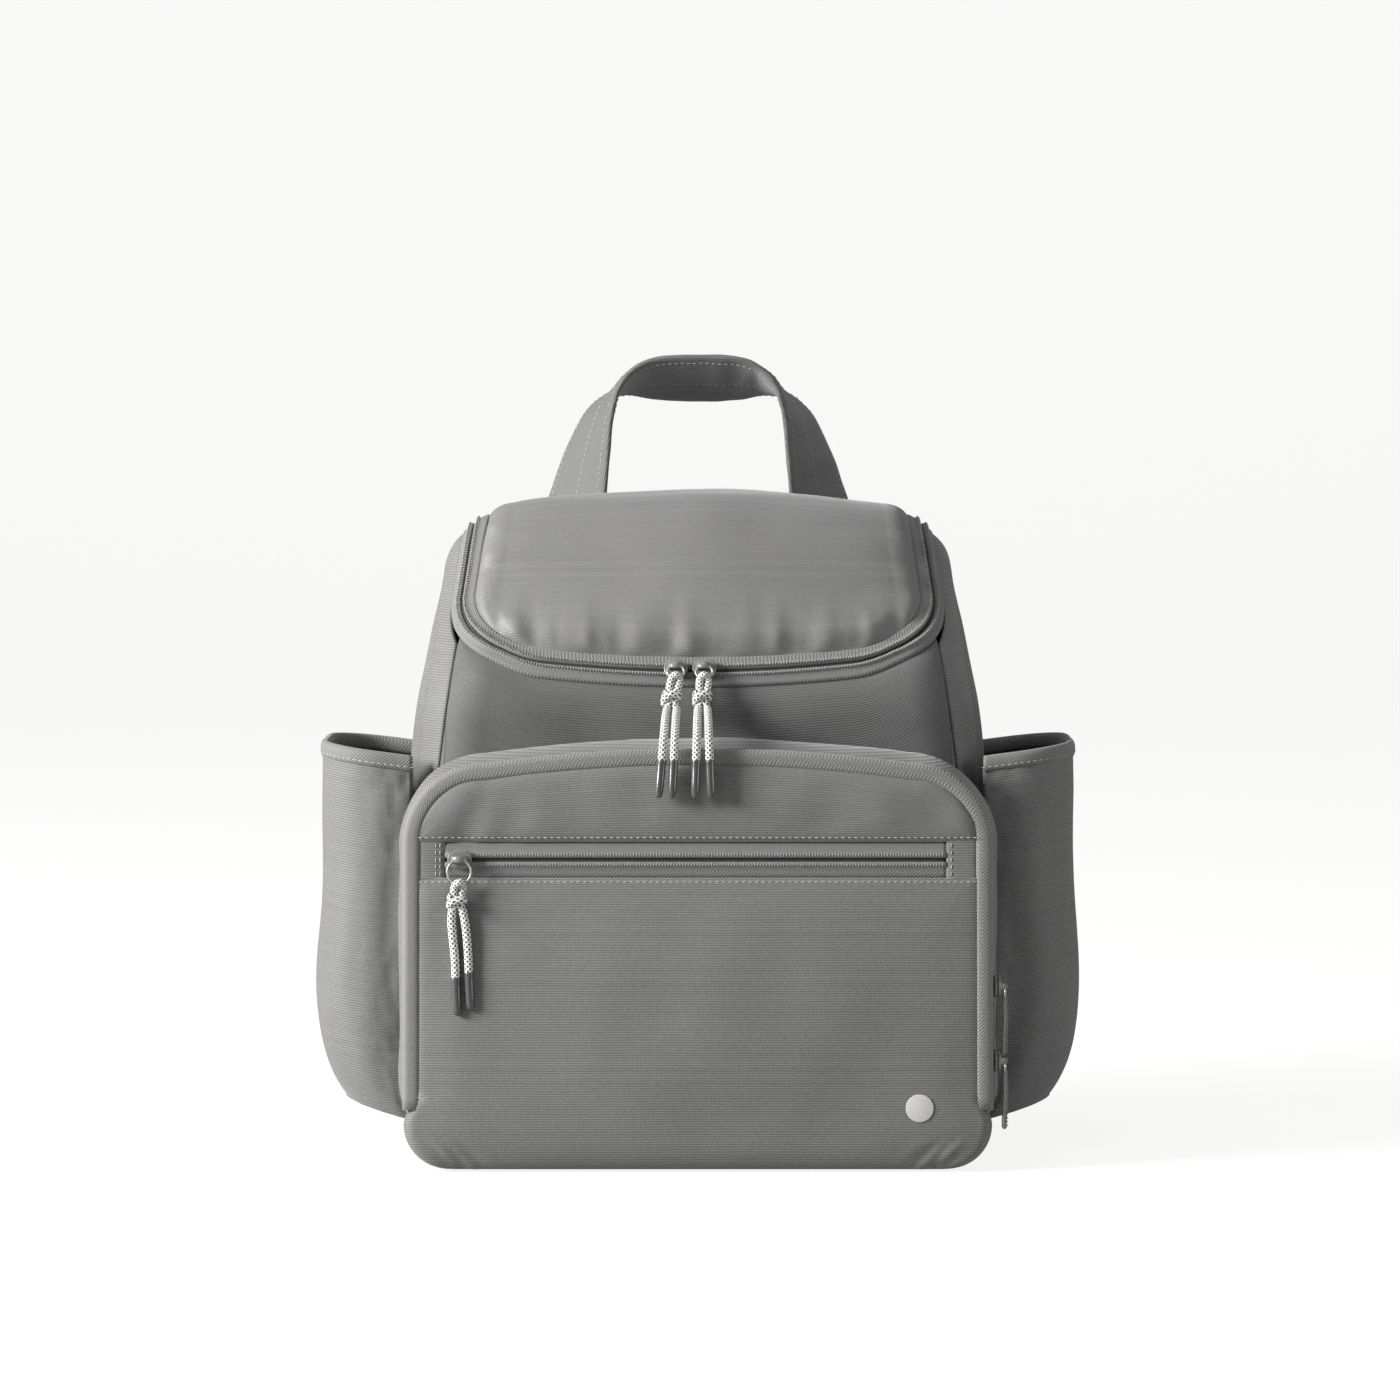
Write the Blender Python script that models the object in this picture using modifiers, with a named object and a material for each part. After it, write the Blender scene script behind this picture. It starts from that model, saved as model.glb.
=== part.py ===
"""Soft nappy backpack: box-shaped body, zipped lid, hinged front pocket flap, side pockets,
carry handle and shoulder straps. Metres, +Z up, front towards -Y, origin under the middle."""
import math

import bmesh
import bpy
from mathutils import Matrix, Vector

# ---- driving dimensions ----
HALF_WIDTH = 0.136          # body, up to TAPER_Z
HALF_WIDTH_TOP = 0.122      # body, at TAPER_END_Z
TAPER_Z = 0.184
TAPER_END_Z = 0.294
CORNER_R = 0.030            # upright and top edges of the body
SHOULDER_R = 0.034          # top rolls, seen from the side
TOP_Z = 0.3135
FRONT_Y = -0.0475           # body front panel
BACK_Y = 0.0625             # body back panel
SLOPE_Z = 0.222             # where the front starts to lean back
SLOPE_R = 0.050
SHOULDER_Y = 0.008          # where the lean meets the top
CROWN = 0.006               # fall of the lid from its middle to its sides
FABRIC = 0.0035             # padded panel thickness
BASE_H = 0.004
GAP = 0.0003                # between touching pieces
SEAM = 0.0013               # between panels that meet on a curve

LID_ZIP_Z = 0.232           # middle of the lid zip at the front
ZIP_SIDE_ANGLE = math.radians(39)   # place of the zip on the body's rounded edge
ZIP_CORNER_R = 0.0425
ZIP_ARCH = 0.9              # rise of the front zip run, per metre squared across
TAPE = 0.0073               # one half of a zip, from the middle out
TAPE_T = 0.0025
HINGE_Y = 0.042             # back seam that the lid turns on
SEAM_ANGLE = math.radians(38)       # front and side panel seam on the rounded edge
FOAM_DROP = 0.0475          # top of the back panel's padding, below the bag's top

POCKET_OVER = 0.003         # front pocket's side, beyond the body's
POCKET_HALF = HALF_WIDTH + POCKET_OVER
POCKET_TOP = 0.199
POCKET_TOP_R = 0.038
POCKET_CROWN = 0.007
POCKET_FOOT_Y = -0.1023     # flap face at the floor
POCKET_LEAN = math.radians(6)
FLAP_EDGE = 0.007           # width of the taped edge round the flap
FLAP_T = 0.0035
FLAP_BOTTOM_R = 0.020
FLAP_FOOT = 0.0015
POCKET_ZIP_FOOT = 0.033     # where the pocket zip stops at each side
FLAP_HINGE_Z = 0.006
GUSSET_T = 0.003
ZIP_REAR_DEPTH = 0.0066     # rear half of the pocket zip, behind the flap's face
EDGE_DEPTH = 0.0006         # inner side of the taped edge, behind the flap's face
SLIT_DROP = 0.0525          # slit pocket zip, below the pocket's top
SLIT_Z = POCKET_TOP - SLIT_DROP
SLIT_BAND = 0.0088          # half height of the band round it
SLIT_LEFT = -(POCKET_HALF - 0.020)
SLIT_RIGHT = POCKET_HALF - 0.022
SLIT_RECESS = 0.0008        # its tape below the flap's face
SLIT_POUCH_DROP = 0.095
POUCH_T = 0.0016
BADGE_X = POCKET_HALF - 0.035
BADGE_V = 0.030             # up the flap
BADGE_R = 0.0065
BADGE_T = 0.0008

SIDE_POCKET_OUT = 0.046     # how far a side pocket stands off the body
SIDE_POCKET_FRONT = -0.043
SIDE_POCKET_BACK = 0.053
SIDE_POCKET_R = 0.030
SIDE_POCKET_FOOT = 0.016
SIDE_POCKET_RIM = 0.184
SIDE_POCKET_RISE = 0.006    # rim rises this much outwards
SIDE_POCKET_T = 0.003
BINDING_H = 0.006
BINDING_T = 0.0042

HANDLE_Y = 0.081            # middle of the handle strap
HANDLE_DEPTH = 0.038
HANDLE_T = 0.005
HANDLE_FOOT_Z = TOP_Z - 0.0155

STRAP_W = 0.055
STRAP_T = 0.010
STRAP_TOP_Z = TOP_Z - 0.0435
STRAP_END_Z = 0.092
WEBBING_W = 0.025
WEBBING_T = 0.002
LOCK_H = 0.020
LOCK_T = 0.005
LOCK_EDGE = 0.004           # rail of the buckle beside its webbing
LOCK_SLOT_H = 0.0044
STRAP_TAB_Z = 0.034         # top of the lower tab
STRAP_TAB_T = 0.003

SLIDER_L = 0.0095
SLIDER_W = 0.0080
SLIDER_T = 0.0030
BAIL_H = 0.0040
BAIL_HOLE_R = 0.0013
RING_WIRE_R = 0.0006
CORD_D = 0.0040
CORD_LIFT = 0.0014          # slit pocket's cord in front of the flap
KNOT_R = (0.0045, 0.0032, 0.0052)
TIP_L = 0.0165
TIP_D = 0.0044
TAB_L = 0.026
TAB_W = 0.0065


# ---- scene and object helpers ----
def clear_scene():
    """Remove every object."""
    for obj in list(bpy.data.objects):
        bpy.data.objects.remove(obj, do_unlink=True)


def new_collection(name):
    """A new collection, linked to the scene."""
    collection = bpy.data.collections.new(name)
    bpy.context.scene.collection.children.link(collection)
    return collection


def material(name, grey, roughness, metallic=0.0):
    """A plain finish of one warm grey."""
    mat = bpy.data.materials.new(name)
    mat.use_nodes = True
    shader = mat.node_tree.nodes["Principled BSDF"]
    shader.inputs["Base Color"].default_value = (grey, grey * 0.99, grey * 0.98, 1.0)
    shader.inputs["Roughness"].default_value = roughness
    shader.inputs["Metallic"].default_value = metallic
    return mat


def add(name, mesh, mat, parent=None):
    """Put a mesh into the bag's collection, under the empty that carries it."""
    obj = bpy.data.objects.new(name, mesh)
    BAG.objects.link(obj)
    mesh.materials.clear()
    mesh.materials.append(mat)
    if parent is not None:
        obj.parent = parent
        obj.matrix_parent_inverse = parent.matrix_world.inverted()
    return obj


def joint_empty(name, place, parent=None):
    """An empty on a joint's axis."""
    empty = bpy.data.objects.new(name, None)
    empty.empty_display_size = 0.01
    BAG.objects.link(empty)
    empty.matrix_world = Matrix.Translation(place)
    if parent is not None:
        empty.parent = parent
        empty.matrix_parent_inverse = parent.matrix_world.inverted()
    bpy.context.view_layer.update()
    return empty


def finish_mesh(mesh_data, name, smooth=False):
    """Turn a bmesh into a mesh, with outward faces."""
    bmesh.ops.recalc_face_normals(mesh_data, faces=mesh_data.faces)
    mesh = bpy.data.meshes.new(name)
    mesh_data.to_mesh(mesh)
    mesh_data.free()
    if smooth:
        mesh.shade_smooth()
        mesh.set_sharp_from_angle(angle=math.radians(40))
    return mesh


def loft(name, sections, mat, parent=None, smooth=False):
    """Closed solid through a row of sections that have the same number of points."""
    work = bmesh.new()
    rings = [[work.verts.new(p) for p in section] for section in sections]
    count = len(rings[0])
    for near, far in zip(rings, rings[1:]):
        for i in range(count):
            j = (i + 1) % count
            work.faces.new((near[i], near[j], far[j], far[i]))
    work.faces.new(rings[0])
    work.faces.new(rings[-1])
    return add(name, finish_mesh(work, name, smooth), mat, parent)


def strap(name, stations, mat, parent=None):
    """Flat band of rectangular section. Each station is its middle, half width and half thickness."""
    sections = []
    for middle, across, through in stations:
        middle, across, through = Vector(middle), Vector(across), Vector(through)
        sections.append([middle + across + through, middle - across + through,
                         middle - across - through, middle + across - through])
    return loft(name, sections, mat, parent)


def grid(place, columns, rows):
    """Open surface of points place(u, v) on the given grid lines, and its vertices row by row."""
    work = bmesh.new()
    bmesh.ops.create_grid(work, x_segments=len(columns) - 1, y_segments=len(rows) - 1, size=1.0)
    lines = [[None] * len(columns) for _ in rows]
    for vert in work.verts:
        i = round((vert.co.x + 1) / 2 * (len(columns) - 1))
        j = round((vert.co.y + 1) / 2 * (len(rows) - 1))
        lines[j][i] = vert
    for v, line in zip(rows, lines):
        for u, vert in zip(columns, line):
            vert.co = place(u, v)
    return work, lines


def panel(name, work, thickness, mat, parent=None):
    """Fabric panel: an open surface thickened inwards."""
    mesh = bpy.data.meshes.new(name)
    work.to_mesh(mesh)
    work.free()
    obj = add(name, mesh, mat, parent)
    shell = obj.modifiers.new("thickness", "SOLIDIFY")
    shell.thickness = thickness
    shell.offset = -1.0
    return obj


def close_edges(segments):
    """Grid lines from 0 to 1, the outer ones close to the edge so that the rim stands square."""
    margin = 0.012
    inner = [lerp(margin, 1 - margin, k / (segments - 2)) for k in range(segments - 1)]
    return [0.0] + inner + [1.0]


def plate(name, outline, front, back, frame, mat, parent=None):
    """Flat plate with the given outline in its frame's X and Y, between two depths below its face."""
    curve = bpy.data.curves.new(name, "CURVE")
    curve.dimensions = "2D"
    curve.fill_mode = "BOTH"
    curve.extrude = (back - front) / 2
    spline = curve.splines.new("POLY")
    spline.points.add(len(outline) - 1)
    for point, (x, y) in zip(spline.points, outline):
        point.co = (x, y, 0.0, 1.0)
    spline.use_cyclic_u = True
    lift = Matrix.Translation((0, 0, -(front + back) / 2))
    return curve_to_mesh(name, curve, frame @ lift, mat, parent)


def curve_to_mesh(name, curve, matrix, mat, parent=None):
    """Replace a curve by its welded mesh."""
    source = bpy.data.objects.new(name + "_curve", curve)
    BAG.objects.link(source)
    depsgraph = bpy.context.evaluated_depsgraph_get()
    mesh = bpy.data.meshes.new_from_object(source.evaluated_get(depsgraph))
    bpy.data.objects.remove(source, do_unlink=True)
    work = bmesh.new()
    work.from_mesh(mesh)
    bmesh.ops.remove_doubles(work, verts=work.verts, dist=0.00001)
    bmesh.ops.transform(work, matrix=matrix, verts=work.verts)
    bpy.data.meshes.remove(mesh)
    return add(name, finish_mesh(work, name), mat, parent)


def tube(name, points, radius, sides, mat, parent=None, closed=False):
    """Round wire or cord along points."""
    curve = bpy.data.curves.new(name, "CURVE")
    curve.dimensions = "3D"
    curve.bevel_depth = radius
    curve.bevel_resolution = sides
    curve.use_fill_caps = not closed
    spline = curve.splines.new("POLY")
    spline.points.add(len(points) - 1)
    for point, place in zip(spline.points, points):
        point.co = (*place, 1.0)
    spline.use_cyclic_u = closed
    return curve_to_mesh(name, curve, Matrix(), mat, parent)


def cut(target, cutter):
    """Subtract a cutter, kept in the cutters' collection."""
    BAG.objects.unlink(cutter)
    CUTTERS.objects.link(cutter)
    cutter.hide_render = True
    cutter.display_type = "WIRE"
    boolean = target.modifiers.new("cut", "BOOLEAN")
    boolean.operation = "DIFFERENCE"
    boolean.object = cutter


def join(target, other):
    """Unite another solid, kept in the cutters' collection, with a piece."""
    BAG.objects.unlink(other)
    CUTTERS.objects.link(other)
    other.hide_render = True
    other.display_type = "WIRE"
    union = target.modifiers.new("union", "BOOLEAN")
    union.operation = "UNION"
    union.object = other


def smooth_path(points, steps):
    """Points on one smooth curve through the given ones."""
    points = [Vector(p) for p in points]
    padded = [2 * points[0] - points[1], *points, 2 * points[-1] - points[-2]]
    result = []
    for a, b, c, d in zip(padded, padded[1:], padded[2:], padded[3:]):
        for k in range(steps):
            t = k / steps
            result.append(0.5 * ((2 * b) + (c - a) * t + (2 * a - 5 * b + 4 * c - d) * t ** 2
                                 + (3 * b - a - 3 * c + d) * t ** 3))
    return result + [points[-1]]


def lerp(a, b, t):
    """Value a share t of the way from a to b."""
    return a + (b - a) * t


# ---- the body's surface ----
def outline_segments():
    """Side view of the body, front foot to back foot, as lines and round bends."""
    foot = BASE_H + GAP
    corners = [Vector(p) for p in ((FRONT_Y, foot), (FRONT_Y, SLOPE_Z), (SHOULDER_Y, TOP_Z),
                                   (BACK_Y, TOP_Z), (BACK_Y, foot))]
    bends = [0.0, SLOPE_R, SHOULDER_R, SHOULDER_R, 0.0]
    segments = []
    start = corners[0]
    for before, corner, after, radius in zip(corners, corners[1:], corners[2:], bends[1:]):
        way_in = (corner - before).normalized()
        way_out = (after - corner).normalized()
        turn = way_in.angle(way_out)
        reach = radius * math.tan(turn / 2)
        segments.append(("line", start, way_in, (corner - way_in * reach - start).length))
        segments.append(("bend", corner - way_in * reach, way_in, radius * turn, radius))
        start = corner + way_out * reach
    segments.append(("line", start, (corners[-1] - start).normalized(), (corners[-1] - start).length))
    return segments


OUTLINE = outline_segments()
OUTLINE_LENGTH = sum(segment[3] for segment in OUTLINE)


def outline_at(s):
    """Place and inward normal of the side view, s along it."""
    for segment in OUTLINE:
        length = segment[3]
        if s <= length or segment is OUTLINE[-1]:
            break
        s -= length
    start, way = segment[1], segment[2]
    inward = Vector((way.y, -way.x))
    if segment[0] == "line":
        return start + way * s, inward
    radius = segment[4]
    angle = s / radius
    centre = start + inward * radius
    turned = Vector((inward.x * math.cos(angle) + inward.y * math.sin(angle),
                     inward.y * math.cos(angle) - inward.x * math.sin(angle)))
    return centre - turned * radius, turned


def s_where(test):
    """First distance along the side view that passes a test of (y, z)."""
    low, high = 0.0, OUTLINE_LENGTH
    for _ in range(40):
        middle = (low + high) / 2
        if test(*outline_at(middle)[0]):
            high = middle
        else:
            low = middle
    return high


def half_width(z):
    """Half width of the body at a height."""
    fall = (HALF_WIDTH - HALF_WIDTH_TOP) / (TAPER_END_Z - TAPER_Z)
    return HALF_WIDTH - fall * max(0.0, z - TAPER_Z)


def flat_half(s):
    """Half width of the flat part between the rounded edges."""
    return half_width(outline_at(s)[0].y) - CORNER_R


def skin(c, s, depth=0.0):
    """Point of the body's surface: c across from the middle, s along the side view."""
    place, inward = outline_at(s)
    side = math.copysign(1.0, c)
    across = abs(c)
    flat = flat_half(s)
    share = min(max((s - S_ZIP) / 0.05, 0.0), 1.0) * min(max((S_BACK - s) / 0.03, 0.0), 1.0)
    fall = CROWN * share * min(across / flat, 1.0) ** 2
    angle = min(max(across - flat, 0.0) / CORNER_R, math.pi / 2)
    straight = max(across - flat - CORNER_R * math.pi / 2, 0.0)
    sink = CORNER_R - (CORNER_R - depth) * math.cos(angle) + straight + fall
    y, z = place + inward * sink
    x = min(across, flat) + (CORNER_R - depth) * math.sin(angle)
    x += (half_width(z) - half_width(place.y)) * math.sin(angle)
    return Vector((side * x, y, z))


S_ZIP = s_where(lambda y, z: z >= LID_ZIP_Z or y > 0)
S_HINGE = s_where(lambda y, z: y >= HINGE_Y)
S_BACK = s_where(lambda y, z: y >= BACK_Y - 0.0001)
S_CORNER = S_ZIP + ZIP_CORNER_R
TRACK_TURN_C = flat_half(S_CORNER) + CORNER_R * ZIP_SIDE_ANGLE - ZIP_CORNER_R
TRACK_RUN = (TRACK_TURN_C, TRACK_TURN_C + ZIP_CORNER_R * math.pi / 2)
TRACK_LENGTH = TRACK_RUN[1] + (S_HINGE - S_CORNER)


def arched(c, s):
    """Lift of the front zip run and of what lies beside it."""
    return s + ZIP_ARCH * min(abs(c), TRACK_TURN_C + 0.02) ** 2 * max(0.0, 1 - abs(s - S_ZIP) / 0.08)


def track(q, outward):
    """Chart place (c, s) on the lid zip, q along it from the middle, moved away from the lid."""
    side, q = math.copysign(1.0, q), abs(q)
    if q <= TRACK_RUN[0]:
        c, s = q, S_ZIP - outward
    elif q <= TRACK_RUN[1]:
        angle = (q - TRACK_RUN[0]) / ZIP_CORNER_R
        c = TRACK_TURN_C + (ZIP_CORNER_R + outward) * math.sin(angle)
        s = S_CORNER - (ZIP_CORNER_R + outward) * math.cos(angle)
    else:
        s = S_CORNER + q - TRACK_RUN[1]
        c = flat_half(s) + CORNER_R * ZIP_SIDE_ANGLE + outward
    return side * c, s


def on_track(q, outward, depth=0.0):
    """Point on the lid zip."""
    c, s = track(q, outward)
    return skin(c, arched(c, s), depth)


def track_under(c, outward):
    """s of the front part of the zip line at c, for |c| up to the start of its side run."""
    c = abs(c)
    if c <= TRACK_TURN_C:
        return S_ZIP - outward
    radius = ZIP_CORNER_R + outward
    return S_CORNER - math.sqrt(max(radius ** 2 - (c - TRACK_TURN_C) ** 2, 0.0))


# ---- body panels ----
def build_body(fabric, base_cloth, lining, board, foam):
    """Panels of the main compartment, and what lies inside it."""
    seam_c = CORNER_R * SEAM_ANGLE

    def front(u, v):
        share = 2 * u - 1
        c = share * (flat_half(S_ZIP) + seam_c)
        for _ in range(4):
            s = v * arched(c, track_under(c, TAPE + SEAM))
            c = share * (flat_half(s) + seam_c - SEAM / 2)
        return skin(c, s)

    panel("front_panel", grid(front, close_edges(20), close_edges(12))[0], FABRIC, fabric)

    def back_edge(s):
        """c where the back panel ends: beside the zip at the hinge, then along the upright seam."""
        share = min(max((s - S_HINGE - 0.009) / 0.02, 0.0), 1.0)
        return flat_half(s) + CORNER_R * ZIP_SIDE_ANGLE + TAPE * (1 - share)

    def side_start(s):
        """c where the side panel begins."""
        if s >= S_HINGE:
            return back_edge(s) + SEAM
        if s >= S_CORNER:
            return track(TRACK_RUN[1] + s - S_CORNER, TAPE + SEAM)[0]
        seam = flat_half(s) + seam_c + SEAM / 2
        radius = ZIP_CORNER_R + TAPE + SEAM
        if s <= S_CORNER - radius:
            return seam
        turn = TRACK_TURN_C + math.sqrt(max(radius ** 2 - (S_CORNER - s) ** 2, 0.0))
        return max(seam, turn)

    def rounded_edge(u, s, hand):
        return skin(hand * lerp(side_start(s), CORNER_R * math.pi / 2 + flat_half(s), u), s)

    front_bend = s_where(lambda y, z: z >= TAPER_Z)
    back_bend = s_where(lambda y, z: y > HINGE_Y and z <= TAPER_Z)
    rows = [front_bend * k / 4 for k in range(4)]
    rows += [lerp(front_bend, back_bend, k / 44) for k in range(45)]
    rows += [lerp(back_bend, OUTLINE_LENGTH, k / 4) for k in range(1, 5)]
    for side, hand in (("left", -1), ("right", 1)):
        columns = [0.0, 0.02, 0.25, 0.5, 0.75, 1.0][::hand]
        work, lines = grid(lambda u, s: rounded_edge(u, s, hand), columns, rows)
        rim = [line[-1 if hand > 0 else 0] for line in lines][::-hand]
        low, high = 4, len(rows) - 5
        work.faces.new(rim[low:high + 1])
        work.faces.new(rim[:low + 1] + rim[high:])
        panel("side_panel_" + side, work, FABRIC, fabric)

    def back(u, v):
        if v < 0.7:
            s = lerp(S_HINGE + SEAM, S_BACK + 0.002, v / 0.7)
        else:
            s = lerp(S_BACK + 0.002, OUTLINE_LENGTH, (v - 0.7) / 0.3)
        return skin((2 * u - 1) * back_edge(s), s)

    panel("back_panel", grid(back, close_edges(12), close_edges(12))[0], FABRIC, fabric)

    base_half = HALF_WIDTH - 0.002
    outline = rounded_box(base_half, FRONT_Y - 0.044, BACK_Y - 0.001, CORNER_R, 5)
    plate("base_panel", outline, 0.0, BASE_H, Matrix.Translation((0, 0, BASE_H)), base_cloth)
    inner_half = HALF_WIDTH - FABRIC - 0.006
    outline = rounded_box(inner_half, FRONT_Y + FABRIC + 0.004, BACK_Y - FABRIC - 0.008, 0.024, 4)
    board_top = BASE_H + GAP + 0.002
    plate("base_board", outline, 0.0, 0.002, Matrix.Translation((0, 0, board_top)), board)

    foam_top = TOP_Z - FOAM_DROP
    foam_half = half_width(foam_top) - CORNER_R - 0.012
    foam_y = BACK_Y - FABRIC - 2 * GAP - 0.0025
    upright("back_foam", foam_half, board_top + GAP, foam_top, foam_y, 0.0025, foam)
    upright("inner_organiser", foam_half - 0.012, board_top + 0.02, 0.205, foam_y - 0.0025 - GAP - 0.001,
            0.001, lining)


def upright(name, half, low, high, y, half_thickness, mat):
    """Flat upright sheet inside the body."""
    outline = [(-half, low), (half, low), (half, high), (-half, high)]
    facing = Matrix.Translation((0, y, 0)) @ Matrix.Rotation(math.pi / 2, 4, "X")
    plate(name, outline, -half_thickness, half_thickness, facing, mat)


def rounded_box(half, near, far, radius, steps):
    """Outline of a rectangle with round corners, as points."""
    centres = ((half - radius, near + radius, -90), (half - radius, far - radius, 0),
               (-half + radius, far - radius, 90), (-half + radius, near + radius, 180))
    points = []
    for x, y, start in centres:
        for k in range(steps + 1):
            angle = math.radians(start + 90 * k / steps)
            points.append((x + radius * math.cos(angle), y + radius * math.sin(angle)))
    return points


# ---- lid ----
def track_values():
    """Samples along the zip, closer in the corners."""
    bottom = [TRACK_RUN[0] * k / 6 for k in range(6)]
    corner = [lerp(*TRACK_RUN, k / 6) for k in range(6)]
    side = [lerp(TRACK_RUN[1], TRACK_LENGTH - GAP, k / 8) for k in range(9)]
    right = bottom + corner + side
    return [-q for q in reversed(right[1:])] + right


def track_band(name, inner, outer, mat, parent=None):
    """Half of the lid zip, between two distances from its middle."""
    sections = []
    for q in track_values():
        near, far = on_track(q, inner), on_track(q, outer)
        deep_near, deep_far = on_track(q, inner, TAPE_T), on_track(q, outer, TAPE_T)
        sections.append([near, far, deep_far, deep_near])
    return loft(name, sections, mat, parent)


def build_lid(fabric, twill, hinge):
    """Lid panel with its half of the zip, and the fixed half below it."""
    track_band("lid_zip_lower", GAP / 2, TAPE, twill)
    track_band("lid_zip_upper", -GAP / 2, -TAPE, twill, hinge)
    inset = -(TAPE + SEAM)
    bottom_q = TRACK_RUN[0]
    rows = [bottom_q + (TRACK_RUN[1] - bottom_q) * k / 5 for k in range(5)]
    rows += [lerp(TRACK_RUN[1], TRACK_LENGTH - GAP, k / 9) for k in range(10)]

    def place(u, v):
        position = v * (len(rows) - 1)
        index = min(int(position), len(rows) - 2)
        q = lerp(rows[index], rows[index + 1], position - index)
        edge, s = track(q, inset)
        c = (2 * u - 1) * edge
        return skin(c, arched(c, s))

    panel("lid_panel", grid(place, close_edges(14), close_edges(16))[0], FABRIC, fabric, hinge)


# ---- front pocket ----
def arch(half, top, crown, radius, foot, steps=5):
    """Right half of the pocket's outline, from the foot of its side to the middle of its top."""
    shoulder = top - crown - radius
    first = math.asin(max(foot - shoulder, 0.0) / radius)
    points = [(half, lerp(foot, shoulder, k / 4)) for k in range(4) if foot < shoulder]
    for k in range(steps + 1):
        angle = lerp(first, math.pi / 2, k / steps)
        points.append((half - radius + radius * math.cos(angle), shoulder + radius * math.sin(angle)))
    reach = half - radius
    for k in range(1, 5):
        x = reach * (1 - k / 4)
        points.append((x, top - crown * (x / reach) ** 2))
    return points


def whole_arch(half, top, crown, radius, foot):
    """The outline from the right foot over the top to the left foot."""
    right = arch(half, top, crown, radius, foot)
    return right + [(-x, z) for x, z in reversed(right[:-1])]


def arch_normals(points):
    """Outward directions across the outline."""
    normals = []
    for i, _ in enumerate(points):
        a, b = points[max(i - 1, 0)], points[min(i + 1, len(points) - 1)]
        way = Vector((b[0] - a[0], b[1] - a[1])).normalized()
        normals.append(Vector((way.y, -way.x)))
    return normals


def flap_frame():
    """Frame of the leaning flap face: X across, Y up the flap, Z out of its face."""
    turn = Matrix.Rotation(math.pi / 2 - POCKET_LEAN, 4, "X")
    return Matrix.Translation((0, POCKET_FOOT_Y, 0)) @ turn


def on_flap(x, v, depth=0.0):
    """World point at x across and v up the flap, sunk below its face."""
    return flap_frame() @ Vector((x, v, -depth))


def band_round_pocket(name, corners, foot, mat, parent=None):
    """Band round the pocket's edge, whose section has these (inset, depth) corners."""
    points = whole_arch(POCKET_HALF, POCKET_TOP, POCKET_CROWN, POCKET_TOP_R, foot)
    sections = []
    for (x, v), out in zip(points, arch_normals(points)):
        sections.append([on_flap(x - out.x * inset, v - out.y * inset, depth)
                         for inset, depth in corners])
    return loft(name, sections, mat, parent)


def build_pocket(fabric, twill, lining, hinge):
    """Gusset and zip of the front pocket, and its hinged flap with the slit pocket."""
    zip_back = ZIP_REAR_DEPTH + TAPE
    points = whole_arch(POCKET_HALF, POCKET_TOP, POCKET_CROWN, POCKET_TOP_R, BASE_H + 2 * GAP)
    sections = []
    for (x, v), out in zip(points, arch_normals(points)):
        inner_x, inner_v = x - out.x * GUSSET_T, v - out.y * GUSSET_T
        front_out, front_in = on_flap(x, v, zip_back + GAP), on_flap(inner_x, inner_v, zip_back + GAP)
        back_out = Vector((front_out.x, FRONT_Y - GAP, front_out.z + 0.004 * out.y))
        back_in = Vector((front_in.x, FRONT_Y - GAP, front_in.z + 0.004 * out.y))
        sections.append([front_out, back_out, back_in, front_in])
    loft("pocket_gusset", sections, fabric)
    rear = ((0.0, ZIP_REAR_DEPTH), (0.0, zip_back), (TAPE_T, zip_back), (TAPE_T, ZIP_REAR_DEPTH))
    band_round_pocket("pocket_zip_rear", rear, POCKET_ZIP_FOOT, twill)
    outer_depth = ZIP_REAR_DEPTH - GAP
    edge = ((FLAP_EDGE, EDGE_DEPTH), (0.0, outer_depth - TAPE_T), (0.0, outer_depth),
            (FLAP_EDGE, EDGE_DEPTH + TAPE_T))
    band_round_pocket("flap_zip_edge", edge, POCKET_ZIP_FOOT, twill, hinge)

    face = flap_frame()
    inset = FLAP_EDGE + GAP
    half = POCKET_HALF - inset
    low, high = SLIT_Z - SLIT_BAND, SLIT_Z + SLIT_BAND
    arch_top = arch(half, POCKET_TOP - inset, POCKET_CROWN, POCKET_TOP_R - inset, high + GAP)
    upper = arch_top + [(-x, v) for x, v in reversed(arch_top[:-1])]
    plate("flap_upper_panel", upper, 0.0, FLAP_T, face, fabric, hinge)
    bottom = rounded_box(half, FLAP_FOOT, 2 * low, FLAP_BOTTOM_R, 5)
    lower = [p for p in bottom if p[1] < low - FLAP_BOTTOM_R]
    count = len(lower) // 2
    lower = lower[count:] + lower[:count]
    lower = [(-half, low - GAP)] + lower + [(half, low - GAP)]
    plate("flap_lower_panel", lower, 0.0, FLAP_T, face, fabric, hinge)
    for name, left, right in (("slit_zip_tape", SLIT_LEFT, SLIT_RIGHT),
                              ("slit_end_patch_left", -half, SLIT_LEFT - GAP),
                              ("slit_end_patch_right", SLIT_RIGHT + GAP, half)):
        outline = [(left, low), (right, low), (right, high), (left, high)]
        recess = SLIT_RECESS if name == "slit_zip_tape" else 0.0
        plate(name, outline, recess, FLAP_T, face, twill if recess else fabric, hinge)
    pouch = [(SLIT_LEFT, SLIT_Z - SLIT_POUCH_DROP), (SLIT_RIGHT, SLIT_Z - SLIT_POUCH_DROP),
             (SLIT_RIGHT, high), (SLIT_LEFT, high)]
    plate("slit_pocket_pouch", pouch, FLAP_T + GAP, FLAP_T + GAP + POUCH_T, face, lining, hinge)


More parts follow.
